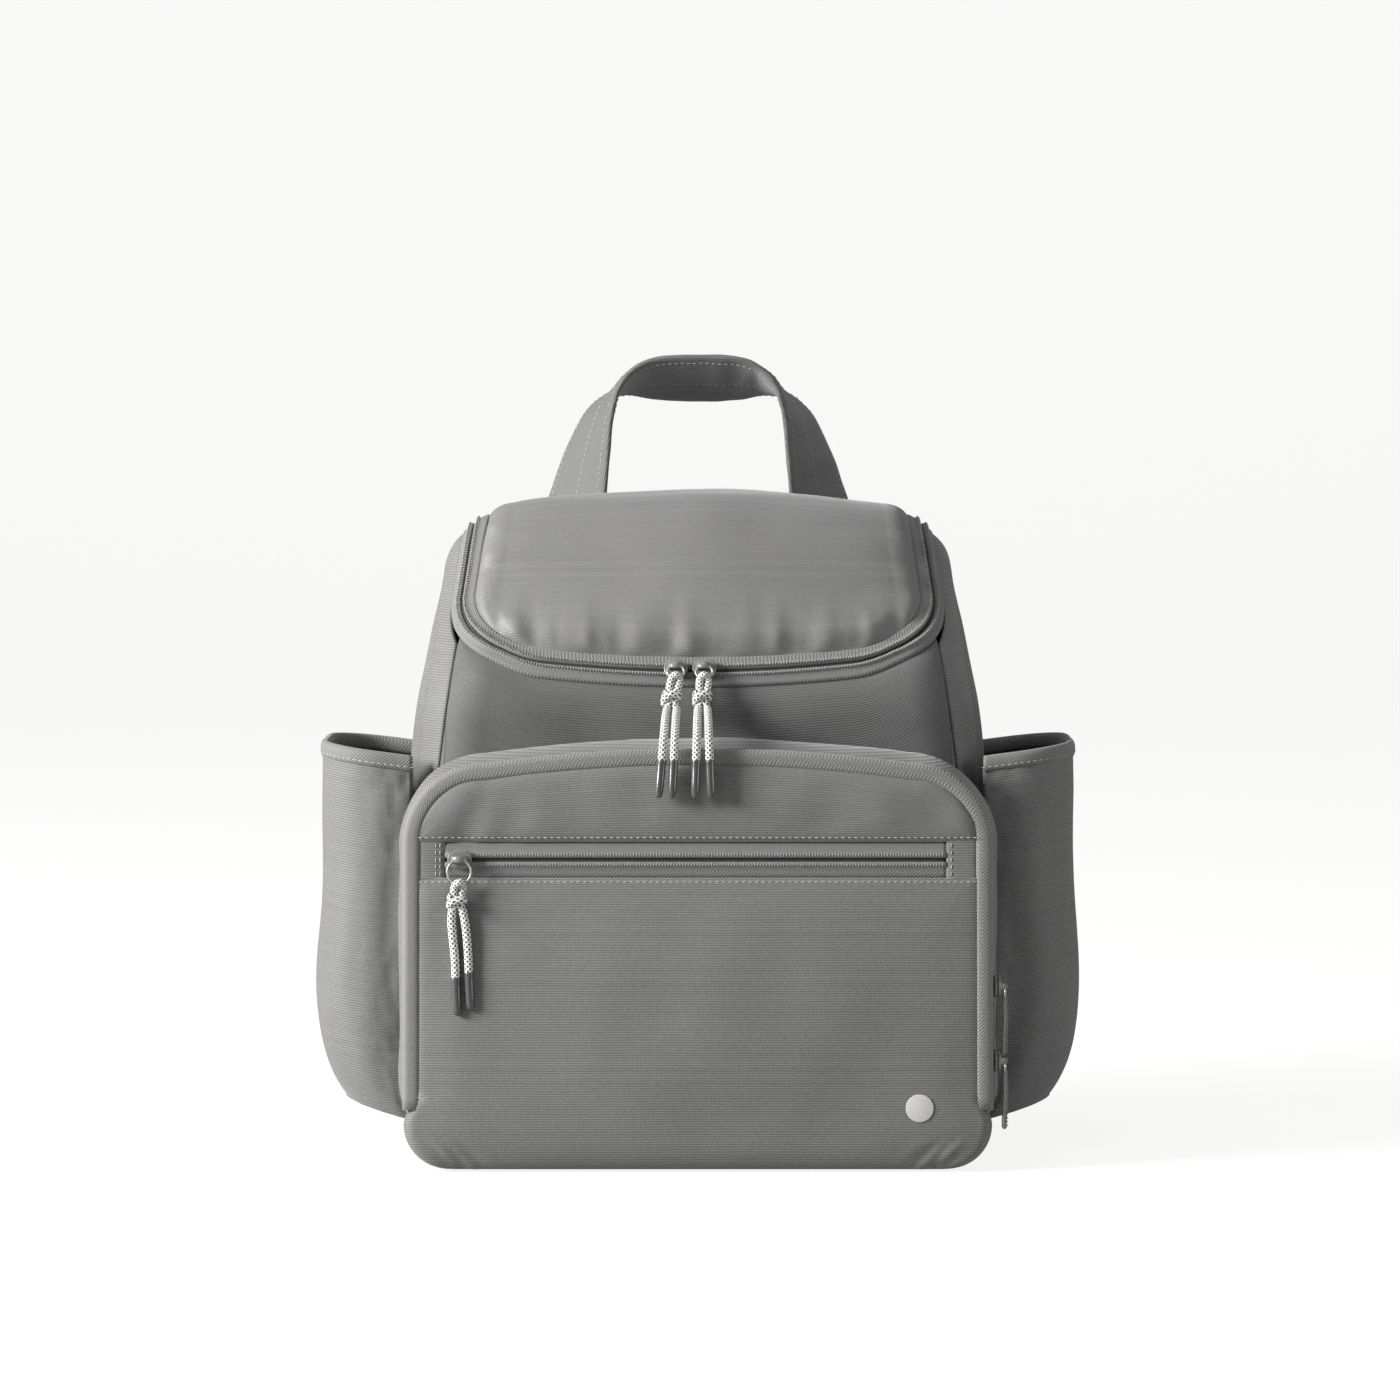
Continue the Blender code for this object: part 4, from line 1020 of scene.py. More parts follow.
# ---- lid ----
@dataclass
class Lid:
    """Lid panel and the lid's zip."""

    puff: float = 0.0026
    pucker: float = 0.0016
    sink: float = 0.0010
    wall: float = 0.0022
    across: int = 150
    up: int = 90

    def edge_distance(self, c: float, s: float) -> float:
        """How far a chart place is inside the lid's edge."""
        c = abs(c)
        inset = BODY.tape + 0.0002
        hinge = BODY.s_hinge - s
        if s < BODY.s_corner and c > BODY.turn_c:
            away = BODY.zip_corner - inset - math.hypot(c - BODY.turn_c, s - BODY.s_corner)
        elif s < BODY.s_corner:
            away = s - BODY.s_zip - inset
        else:
            away = BODY.flat(s) + BODY.corner * BODY.zip_angle - inset - c
        return max(min(away, hinge), 0.0)

    def relief(self, c: float, s: float) -> float:
        """Outward rise of the lid's cloth."""
        away = self.edge_distance(c, s)
        front = s - BODY.s_zip - BODY.tape
        rise = -self.sink + (self.puff + self.sink) * (1 - math.exp(-away / 0.0042))
        gather = (1 - math.exp(-away / 0.0030)) * math.exp(-away / 0.019)
        crease = 0.34 - 1.7 * abs(ripple(c * 46 + s * 9, s * 8, 9.0))
        fold = 0.75 * ripple(c * 50, s * 9, 4.0) + 0.55 * crease + 0.30 * ripple(c * 120, s * 16, 2.0)
        side = ripple(s * 56, c * 12, 14.0) + 0.4 * ripple(s * 110, c * 20, 15.0)
        along_front = eased(1 - front / 0.05)
        rise += self.pucker * gather * (3.9 * fold * along_front + 2.4 * side * (1 - along_front))
        rise += 0.0021 * ripple(c * 15 + s * 9, s * 17 - c * 6, 21.0) * eased(away / 0.03)
        rise += 0.0020 * ripple(c * 26, s * 6, 33.0) * eased(1 - abs(s - BODY.s_hinge + 0.035) / 0.04)
        rise += 0.0022 * eased(1 - front / 0.035) * eased(away / 0.012)
        return rise * eased(0.15 + (BODY.s_hinge - s) / 0.012)

    def panel(self) -> None:
        """Lid panel."""
        bottom = BODY.run[0]
        inset = -(BODY.tape + 0.0002)

        def spread(q: float) -> Points:
            """One row of the panel at q along the track."""
            edge, s = BODY.track(q, inset)
            row = []
            for u in near_edges(self.across):
                c = (2 * u - 1) * edge
                row.append(BODY.skin(c, BODY.arched(c, s), -self.relief(c, s)))
            return row

        corner_rows = [lerp(bottom, BODY.run[1], eased(0.5 * t) * 2) for t in steps(0, 1, 34)]
        side_rows = steps(BODY.run[1], BODY.track_length - 0.0003, self.up - 34)
        rows = [spread(q) for q in corner_rows[:-1] + side_rows]
        cloth = lined("lid_cloth", rows, Finish.LID, self.wall)
        cloth.placed("lid", ["lid_panel"])

    def tape(self, name: str, hand: float, body: str, node: str) -> None:
        """Half of the zip: hand is 1 below the zip's middle and -1 above it."""
        profile = ((0.0009, 0.0016), (0.0009, 0.0005), (0.0013, 0.0000), (0.0026, -0.0002), (0.0034, 0.0001),
                   (0.0038, 0.0004), (0.0060, 0.0003), (0.0071, 0.0005), (0.0077, 0.0011), (0.0080, 0.0022),
                   (0.0078, 0.0029), (0.0040, 0.0029), (0.0009, 0.0027))
        rows = []
        for q in steps(-BODY.track_length + 0.0003, BODY.track_length - 0.0003, 260):
            rows.append([BODY.on_track(q, hand * out, depth) for out, depth in profile])
        closed(name, rows, Finish.TWILL).placed(body, [node])
        reach = BODY.track_length - 0.002
        spots = [(q, hand * STITCH_ROW) for q in steps(-reach, reach, 300)]
        line = seam_outs(lambda q, out: BODY.on_track(q, out, -0.0008), spots)
        stitches = TAPE_STITCH.along(name + "_stitches", [line])
        place_piece(stitches, body)

    def coil(self) -> None:
        """Closed coil in the groove between the two tapes; its near-black colour is painted shade of the gap.
        """
        profile = ((-0.0012, 0.0016), (0.0, 0.0012), (0.0012, 0.0016), (0.0012, 0.0024), (-0.0012, 0.0024))
        rows = [[BODY.on_track(q, out, depth) for out, depth in profile]
                for q in steps(-BODY.track_length + 0.001, BODY.track_length - 0.001, 200)]
        closed("lid_zip_coil_gap_shade", rows, Finish.COIL_PAINTED_SHADE).placed("bag")

    def hinge_strip(self) -> None:
        """Strip of cloth inside the back seam."""
        reach = 0.0055
        rows = []
        for s in steps(BODY.s_hinge - reach, BODY.s_hinge + reach, 14):
            edge = BODY.flat(s) + BODY.corner * BODY.zip_angle - 0.004
            across = [(2 * u - 1) * edge for u in steps(0, 1, 60)]
            rows.append([BODY.skin(c, s, 0.0022) for c in across]
                        + [BODY.skin(c, s, 0.0030) for c in reversed(across)])
        strip = closed("lid_hinge_strip", rows, Finish.LID).build()
        start, end = BODY.skin(0, BODY.s_hinge + reach, 0.0026), BODY.skin(0, BODY.s_hinge - reach, 0.0026)
        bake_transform(strip)

    def build(self) -> None:
        """Every piece of the lid."""
        self.panel()
        self.hinge_strip()
        self.coil()
        self.tape("lid_tape_lower", 1.0, "bag", "lid_zip_lower")
        self.tape("lid_tape_upper", -1.0, "lid", "lid_zip_upper")


# ---- body panels ----
@dataclass
class Shell:
    """Front, side, back and base of the main body, with the lining inside."""

    wall: float = 0.0030
    roll: float = 0.0035
    spine_top: float = 0.222        # where the side wall's cloth lines meet
    middle_y: float = 0.0075

    def seam_roll(self, away: float, sink: float = 0.0009) -> float:
        """Rise of the cloth beside a seam."""
        return -sink * math.exp(-away / self.roll)

    def front(self) -> None:
        """Upper front panel, in a darker cloth: painted shade below the lid's zip."""
        seam = BODY.corner * BODY.seam_angle
        rows = []
        for v in near_edges(70):
            row = []
            for u in near_edges(120):
                share = 2 * u - 1
                c = share * (BODY.flat(BODY.s_zip) + seam)
                for _ in range(4):
                    s = v * BODY.arched(c, BODY.under_track(c, BODY.tape + 0.0002))
                    c = share * (BODY.flat(s) + seam - 0.0004)
                top = (1 - v) * BODY.under_track(c, BODY.tape)
                away = min((1 - abs(share)) * 0.12, top)
                rise = self.seam_roll(away) + 0.0011 * ripple(c * 30, s * 24, 2.0) * eased(away / 0.02)
                rise -= 0.0016 * math.exp(-top / 0.006)
                row.append(BODY.skin(c, s, -rise))
            rows.append(row)
        panel = lined("front_cloth", rows, Finish.FRONT, self.wall)
        panel.placed("bag", ["front_panel"])

    def side(self, side: str, hand: int) -> None:
        """Side panel, from the front seam round to the back seam."""
        levels = [lerp(BODY.foot, self.spine_top, v) for v in near_edges(60)]
        front = [BODY.s_where(lambda y, z, level=level: z >= level - 1e-7 or y > 0) for level in levels]
        back = [BODY.s_where(lambda y, z, level=level: y > BODY.hinge_y and z <= level + 1e-7)
                for level in reversed(levels)]
        back[-1] = BODY.length
        fan = steps(front[-1], back[0], 46)[1:-1]
        rows, ends = [], []
        for s in front + fan + back:
            start = BODY.side_start(s)
            edge = BODY.flat(s) + BODY.corner * math.pi / 2
            level = min(BODY.outline_at(s)[0].y, self.spine_top)
            swollen = BODY.half_width(level) + self.bulge(self.middle_y, level)
            ends.append(Vector((hand * swollen, self.middle_y, level)))
            row = []
            for u in steps(0, 1, 22):
                c = lerp(start, edge, u)
                away = (c - start)
                fold = 0.0012 * ripple(s * 34, c * 22, 5.0 + hand) * eased(away / 0.01)
                row.append(BODY.skin(hand * c, s, -(self.seam_roll(away) + fold)))
            rows.append(row)
        self.even_rims(rows)
        for row, end in zip(rows, ends):
            rim = row[-1]
            for u in steps(0, 1, 20)[1:]:
                place = rim.lerp(end, u)
                flat = BODY.half_width(place.z) + self.bulge(place.y, place.z) * eased(u / 0.5)
                place.x = hand * flat + (rim.x - hand * BODY.half_width(rim.z)) * (1 - u)
                row.append(place)
        inside = Vector((0, self.middle_y, 0.15))
        panel = Sheet("side_cloth_" + side, rows, Finish.RIBBED, self.wall, Finish.LINING,
                      inside=inside, level_rows=True)
        obj = panel.build()
        self.side_weave(obj)
        place_piece(obj, "bag", ["side_panel_" + side])

    @staticmethod
    def even_rims(rows: Rows, reach: int = 7) -> None:
        """Draw the ends of the rows into one even line where they crowd, and the rows with them."""
        rims = [row[-1].copy() for row in rows]
        last = len(rows) - 1
        for i, row in enumerate(rows):
            span = min(reach, i, last - i)
            near = rims[i - span:i + span + 1]
            shift = sum(near, Vector()) / len(near) - rims[i]
            for k, place in enumerate(row):
                place += shift * eased(k / (len(row) - 1))

    @staticmethod
    def side_weave(obj: bpy.types.Object) -> None:
        """Lay the side panel's cloth coordinates level: round the bag, and up it."""
        layer = obj.data.uv_layers[WEAVE]
        for polygon in obj.data.polygons:
            for index in polygon.loop_indices:
                place = obj.data.vertices[obj.data.loops[index].vertex_index].co
                layer.data[index].uv = (place.y, place.z)

    def bulge(self, y: float, z: float) -> float:
        """Outward swell of the flat side wall."""
        across = max(0.0, 1 - abs(y - self.middle_y) / 0.055)
        up = max(0.0, 1 - abs(z - 0.14) / 0.16)
        return 0.004 * eased(across * 1.4) * eased(up * 1.6)

    def back(self) -> None:
        """Back panel with its padded field."""
        rows = []
        first = BODY.s_hinge + 0.0003
        for s in steps(first, BODY.length, 130):
            row = []
            for u in near_edges(90):
                edge = BODY.back_edge(s)
                c = (2 * u - 1) * edge
                low = BODY.outline_at(s)[0].y
                away = min((1 - abs(2 * u - 1)) * edge, low, s - first)
                pad = self.pad(c, low) if s > BODY.s_back - 0.01 else 0.0
                rise = self.seam_roll(away) + pad
                row.append(BODY.skin(c, s, -rise))
            rows.append(row)
        panel = lined("back_cloth", rows, Finish.RIBBED, self.wall)
        panel.placed("bag", ["back_panel"])

    @staticmethod
    def pad(c: float, z: float) -> float:
        """Rise of the quilted back padding, with channels between its pads."""
        centre = 0.14
        half_c, half_z = 0.084, 0.116
        edge = min(half_c - abs(c), half_z - abs(z - centre))
        if edge <= 0:
            return 0.0
        channels = min(abs(z - 0.105), abs(z - 0.178), abs(c) if z < 0.105 else 1.0)
        return 0.0042 * eased(edge / 0.012) * (0.35 + 0.65 * eased(channels / 0.010))

    def base(self) -> None:
        """Base cloth under the bag, turned up a little at its edge."""
        outline = round_box(BODY.half - 0.0015, -0.0925, BODY.back_y - 0.0005, BODY.corner, 8)
        rows = []
        for inset, z in ((0.9, 0.0003), (0.012, 0.0002), (0.003, 0.0006), (0.0008, 0.0020), (0.0, 0.0034),
                         (0.0012, 0.0042), (0.004, 0.0041), (0.9, 0.0040)):
            row = []
            for x, y in outline:
                centre = Vector((0.0, -0.015))
                way = Vector((x, y)) - centre
                spot = centre + way * (0.02 if inset > 0.5 else 1 - inset / way.length)
                row.append(Vector((spot.x, spot.y, z)))
            rows.append(row)
        base = closed("base_cloth_tray", rows, Finish.DARK_CLOTH)
        base.placed("bag", ["base_panel"])

    def inner(self) -> None:
        """Foam sheet and slip pocket on the inside of the back."""
        low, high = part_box("back_foam")
        self.pillow("back_foam_sheet", low, high, 0.0009, Finish.LINING, ["back_foam"])
        low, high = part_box("inner_organiser")
        self.pillow("inner_slip_pocket", low, high, 0.0007, Finish.LINING, ["inner_organiser"])
        rim = [Vector((x, low.y - 0.0006, high.z - 0.004)) for x in steps(low.x, high.x, 60)]
        stitches = TOPSTITCH.along("inner_slip_pocket_stitches", [(rim, [Vector((0, -1, 0))] * len(rim))])
        place_piece(stitches, "bag")
        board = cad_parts["base_board"].data
        board.materials.clear()
        board.materials.append(Finish.BOARD.material())

    @staticmethod
    def pillow(name: str, low: Vector, high: Vector, swell: float, finish: Finish, nodes: Sequence[str]
               ) -> None:
        """Thin upright sheet with rounded edges and a slight swell."""
        middle = (low.y + high.y) / 2
        half = (high.y - low.y) / 2
        rows = []
        for v in near_edges(30):
            front = []
            back = []
            for u in near_edges(30):
                edge = min(u, 1 - u, v, 1 - v)
                thick = half * eased(0.25 + edge / 0.03) + swell * eased(edge / 0.3)
                x, z = lerp(low.x, high.x, u), lerp(low.z, high.z, v)
                front.append(Vector((x, middle - thick, z)))
                back.append(Vector((x, middle + thick - swell, z)))
            rows.append(front + back[::-1])
        closed(name, rows, finish).placed("bag", nodes)

    def build(self) -> None:
        """Every piece of the shell."""
        self.front()
        self.side("left", -1)
        self.side("right", 1)
        self.back()
        self.base()
        self.inner()


# ---- front pocket ----
@dataclass
class FrontPocket:
    """Arched pocket: gusset, zip, edging, and the hinged flap with its slit pocket."""

    half: float = 0.139
    top: float = 0.199
    top_r: float = 0.038
    crown: float = 0.007
    foot_y: float = -0.1023
    lean: float = math.radians(6)
    edge: float = 0.0075
    slit: float = 0.1465
    band: float = 0.0082
    slit_left: float = -0.119
    slit_right: float = 0.117
    zip_foot: float = 0.033
    rear: float = 0.0066
    corner_r: float = 0.021
    wall: float = 0.0026
    foot: float = 0.0012            # lower edge of the flap's cloth
    patch_depth: float = 0.0006     # slit's end patches, below the flap's face
    badge_at: tuple[float, float] = (0.104, 0.030)

    def __post_init__(self) -> None:
        """Frame of the leaning face."""
        turn = Matrix.Rotation(math.pi / 2 - self.lean, 4, "X")
        self.face = Matrix.Translation((0, self.foot_y, 0)) @ turn

    def on_face(self, x: float, v: float, depth: float = 0.0) -> Vector:
        """World point at x across and v up the face, sunk below it."""
        return self.face @ Vector((x, v, -depth))

    def arch(self, foot: float, inset: float = 0.0, count: int = 24) -> list[tuple[Vector, Vector]]:
        """Outline from the right foot over the top to the left foot, with the way out at each point."""
        half, top, radius = self.half - inset, self.top - inset, self.top_r - inset
        shoulder = top - self.crown - radius
        right = [(half, z) for z in steps(foot, shoulder, count)]
        for angle in steps(0, math.pi / 2, count)[1:]:
            right.append((half - radius + radius * math.cos(angle), shoulder + radius * math.sin(angle)))
        reach = half - radius
        right += [(x, top - self.crown * (x / reach) ** 2) for x in steps(reach, 0, count)[1:]]
        whole = [Vector(p) for p in right + [(-x, z) for x, z in reversed(right[:-1])]]
        found = []
        for i, place in enumerate(whole):
            way = beside(whole, i).normalized()
            found.append((place, Vector((way.y, -way.x))))
        return found

    def sweep(self, name: str, profile: Sequence[tuple[float, float]], foot: float, finish: Finish,
              body: str, nodes: Sequence[str]) -> None:
        """Band round the arch whose section has these inset and depth corners."""
        rows = []
        for place, out in self.arch(foot):
            rows.append([self.on_face(place.x - out.x * inset, place.y - out.y * inset, depth)
                         for inset, depth in profile])
        closed(name, rows, finish).placed(body, nodes)

    def gusset(self) -> None:
        """Wall of the pocket from its zip back to the body."""
        depth = self.rear + BODY.tape + 0.0002
        rows = []
        for place, out in self.arch(0.0046, count=30):
            row = []
            tuck = 0.0035 * eased((0.036 - place.y) / 0.012) + self.corner_in(place.y)
            front = self.on_face(place.x - out.x * tuck, place.y, depth)
            back = Vector((front.x, BODY.front_y + 0.0004, front.z + 0.004 * out.y))
            for t in near_edges(26):
                spot = front.lerp(back, t)
                way = Vector((out.x, 0, out.y))
                swell = 0.0030 * math.sin(math.pi * t) * (1 - 0.6 * abs(out.y))
                swell += 0.0012 * ripple(spot.z * 40 + spot.x * 30, spot.y * 40, 7.0) * math.sin(math.pi * t)
                swell -= 0.0010 * (math.exp(-t * 12) + math.exp(-(1 - t) * 12))
                row.append(spot + way * swell)
            rows.append(row)
        wall = Sheet("pocket_gusset_cloth", rows, Finish.RIBBED, 0.0024, Finish.LINING,
                     inside=Vector((0, -0.07, 0.10)))
        obj = wall.build()
        Shell.side_weave(obj)
        place_piece(obj, "bag", ["pocket_gusset"])

    def zip(self) -> None:
        """Taped edge of the flap and the zip's rear half."""
        rear = self.rear
        edging = ((self.edge + 0.0010, 0.0034), (self.edge + 0.0008, 0.0014), (self.edge + 0.0002, 0.0005),
                  (self.edge - 0.0010, 0.0001), (0.0050, 0.0000), (0.0030, 0.0001), (0.0014, 0.0006),
                  (0.0005, 0.0015), (0.0001, 0.0028), (0.0000, 0.0042), (0.0002, 0.0056), (0.0008, 0.0062),
                  (0.0024, 0.0060), (0.0026, 0.0040), (0.0050, 0.0036))
        self.sweep("flap_edging", edging, self.zip_foot - 0.004, Finish.EDGING, "front_flap",
                   ["flap_zip_edge"])
        tape = ((0.0010, rear + 0.0001), (0.0001, rear + 0.0006), (-0.0004, rear + 0.0018),
                (0.0000, rear + 0.0034), (0.0000, rear + 0.0060), (0.0006, rear + 0.0076),
                (0.0024, rear + 0.0076), (0.0024, rear + 0.0002))
        self.sweep("pocket_zip_tape", tape, self.zip_foot, Finish.TWILL, "bag", ["pocket_zip_rear"])
        line, outs = [], []
        for place, out in self.arch(self.zip_foot + 0.001, count=40):
            line.append(self.on_face(place.x + out.x * 0.0002, place.y + out.y * 0.0002, rear + 0.0017))
            outs.append(self.face.to_3x3() @ Vector((out.x, out.y, 0)))
        place_piece(LOW_STITCH.along("pocket_zip_stitches", [(line, outs)]), "bag")

    def corner_in(self, v: float) -> float:
        """How far the pocket's round bottom corner stands in from its side."""
        if v >= self.corner_r:
            return 0.0
        rise = self.corner_r - max(v - self.foot, 0.0)
        return self.corner_r - math.sqrt(max(self.corner_r ** 2 - rise ** 2, 0.0))

    def lower_half(self, v: float) -> float:
        """Half width of the flap's lower panel at a height."""
        side = self.half - self.edge + (self.edge - 0.0006) * eased((0.040 - v) / 0.018)
        return side - self.corner_in(v)

    @staticmethod
    def creased(x: float, v: float) -> float:
        """Where the flap's cloth is creased: beside its upper left corner."""
        return math.exp(-((x + 0.112) ** 2 / 0.0009 + (v - 0.150) ** 2 / 0.0016))

    def lower_relief(self, x: float, v: float) -> float:
        """Rise of the lower panel's cloth."""
        half = self.lower_half(v)
        away = min(half - abs(x), v - 0.0010, self.slit - self.band - v)
        away = max(away, 0.0)
        wide, tall = 1 - (x / half) ** 2, math.sin(math.pi * min(max(v / 0.138, 0.0), 1.0))
        rise = 0.0048 * max(wide, 0.0) * tall ** 0.8
        rise -= 0.0040 * math.exp(-max(v, 0.0) / 0.0045)
        rise -= 0.0009 * math.exp(-away / 0.0022)
        rise += 0.0010 * ripple(x * 22, v * 26, 6.0) * eased(away / 0.02)
        rise += 0.0016 * ripple(x * 30 + v * 20, v * 60 - x * 30, 16.0) * self.creased(x, v)
        dart = math.exp(-((abs(x) - 0.112) ** 2) / 0.00012) * eased((0.020 - v) / 0.012)
        return rise + 0.0022 * dart * ripple((abs(x) - v) * 160, (abs(x) + v) * 30, 27.0)

    def wrapped(self, share: float, v: float) -> tuple[float, float, float]:
        """Place across, up and below the face of the lower cloth, which turns back beside the zip's foot.

        Args:
            share: from -1 to 1 across the cloth, turned edges included.
            v: height up the face.
        Returns:
            Place across, up, and depth.
        """
        half = self.lower_half(v)
        turned = eased((0.037 - v) / 0.007)
        bend, back = 0.0055 * turned + 0.0001, 0.0085 * turned
        hand = math.copysign(1.0, share)
        reach = abs(share) * (half - bend + bend * math.pi / 2 + back)
        flat = half - bend
        if reach <= flat:
            return hand * reach, v, -self.lower_relief(hand * reach, v)
        depth = -self.lower_relief(hand * flat, v)
        angle = min((reach - flat) / bend, math.pi / 2)
        rest = max(reach - flat - bend * math.pi / 2, 0.0)
        return hand * (flat + bend * math.sin(angle)), v, depth + bend * (1 - math.cos(angle)) + rest

    def panels(self) -> None:
        """Cloth above and below the slit."""
        rows = []
        high = self.slit - self.band - 0.0002
        for t in near_edges(110):
            v = lerp(self.foot, high, t)
            rows.append([self.on_face(*self.wrapped(2 * u - 1, v)) for u in near_edges(150)])
        cloth = lined("flap_cloth_lower", rows, Finish.RIBBED, self.wall)
        cloth.placed("front_flap", ["flap_lower_panel"])

        inset = self.edge + 0.0001
        half, top, radius = self.half - inset, self.top - inset, self.top_r - inset
        base = self.slit + self.band + 0.0002
        columns = []
        for u in near_edges(150, 0.0):
            x = (2 * u - 1) * (half - 0.0004)
            reach = half - radius
            if abs(x) <= reach:
                crest = top - self.crown * (x / reach) ** 2
            else:
                crest = top - self.crown - radius + math.sqrt(max(radius ** 2 - (abs(x) - reach) ** 2, 0.0))
            column = []
            for t in near_edges(44):
                v = lerp(base, max(crest, base + 0.0008), t)
                away = max(min(crest - v, v - base, half - abs(x)), 0.0)
                rise = 0.0016 * (1 - math.exp(-away / 0.006)) - 0.0010 * math.exp(-away / 0.002)
                rise += 0.0011 * ripple(x * 40, v * 30, 11.0) * eased(away / 0.012)
                rise += 0.0020 * ripple(x * 60 - v * 25, v * 25, 18.0) * self.creased(x, v)
                column.append(self.on_face(x, v, -rise))
            columns.append(column)
        rows = [list(row) for row in zip(*columns)]
        cloth = lined("flap_cloth_upper", rows, Finish.RIBBED, self.wall)
        cloth.placed("front_flap", ["flap_upper_panel"])

    def slit_band(self) -> None:
        """Slit zip with its two tape halves, end patches, pouch and rows of stitching."""
        parts = []
        for hand in (-1, 1):
            profile = [(0.0009, 0.0026), (0.0009, 0.0014), (0.0013, 0.0009), (0.0026, 0.0008),
                       (0.0033, 0.0011), (0.0038, 0.0015), (0.0062, 0.0016), (self.band + 0.001, 0.0022),
                       (self.band + 0.001, 0.0034), (0.0009, 0.0034)]
            rows = [[self.on_face(x, self.slit + hand * v, depth) for v, depth in profile]
                    for x in steps(self.slit_left, self.slit_right, 120)]
            parts.append(closed("half", rows, Finish.TWILL).build())
        # The groove's near-black coil is painted shade of the gap between the tape halves.
        groove = ((-0.0012, 0.0026), (0.0, 0.0022), (0.0012, 0.0026), (0.0012, 0.0034), (-0.0012, 0.0034))
        rows = [[self.on_face(x, self.slit + v, depth) for v, depth in groove]
                for x in steps(self.slit_left, self.slit_right, 60)]
        parts.append(closed("groove", rows, Finish.COIL_PAINTED_SHADE).build())
        tape = merged("slit_tape", parts)
        place_piece(tape, "front_flap", ["slit_zip_tape"])
        lines = []
        for hand in (-1, 1):
            run = steps(self.slit_left + 0.002, self.slit_right - 0.002, 100)
            spots = [(x, self.slit + hand * STITCH_ROW) for x in run]
            lines.append(seam_outs(lambda x, v: self.on_face(x, v, 0.0009), spots))
        stitches = TAPE_STITCH.along("slit_tape_stitches", lines)
        place_piece(stitches, "front_flap")

        half = self.half - self.edge + 0.0002
        low, high = self.slit - self.band - 0.0006, self.slit + self.band + 0.0006
        for side, left, right in (("left", -half, self.slit_left + 0.0002),
                                  ("right", self.slit_right - 0.0002, half)):
            rows = []
            for v in near_edges(16):
                row = []
                for u in near_edges(20):
                    edge = min(u * (right - left), (1 - u) * (right - left), 0.01)
                    depth = self.patch_depth + 0.0010 * math.exp(-edge / 0.0012)
                    row.append(self.on_face(lerp(left, right, u), lerp(low, high, v), depth))
                rows.append(row)
            patch = Sheet("slit_patch_" + side, rows, Finish.RIBBED, 0.0020, level_rows=True)
            patch.placed("front_flap", ["slit_end_patch_" + side])

        low, high = self.slit - 0.095, self.slit + self.band
        rows = [[self.on_face(lerp(self.slit_left, self.slit_right, u), lerp(low, high, v), 0.0040)
                 for u in near_edges(40)] for v in near_edges(24)]
        pouch = Sheet("slit_pouch", rows, Finish.LINING, 0.0014, level_rows=True)
        pouch.placed("front_flap", ["slit_pocket_pouch"])
        self.slit_stitches()

    def slit_stitches(self) -> None:
        """Rows of stitching below and above the slit's band, and across its ends."""
        reach = self.half - self.edge - 0.001
        run = steps(-reach, reach, 140)
        beyond = self.band + 0.0022
        surfaces = ((-beyond, lambda x, v: self.on_face(x, v, -self.lower_relief(x, v) - 0.0001)),
                    (beyond, lambda x, v: self.on_face(x, v, -0.0005)))
        lines = [seam_outs(surface, [(x, self.slit + lift) for x in run]) for lift, surface in surfaces]
        for x in (self.slit_left - 0.0022, self.slit_left - 0.0042, self.slit_right + 0.0022):
            spots = [(x, v) for v in steps(self.slit - 0.0066, self.slit + 0.0066, 14)]
            lines.append(seam_outs(lambda a, v: self.on_face(a, v, 0.0005), spots))
        place_piece(TOPSTITCH.along("slit_band_stitches", lines), "front_flap")

    def badge(self) -> None:
        """Plain printed disc."""
        low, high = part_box("badge")
        lift = self.lower_relief(*self.badge_at)
        turn = Matrix.Translation(self.on_face(*self.badge_at, -lift)) @ self.face.to_3x3().to_4x4()
        radius = (high.x - low.x) / 2
        outline = [(radius * math.cos(TAU * k / 48), radius * math.sin(TAU * k / 48)) for k in range(48)]
        disc = block("badge_disc", outline, -0.0006, 0.0004, turn, Finish.BADGE, 0.00015)
        place_piece(disc, "front_flap", ["badge"])

    def build(self) -> None:
        """Every piece of the pocket."""
        self.gusset()
        self.zip()
        self.panels()
        self.slit_band()
        self.badge()


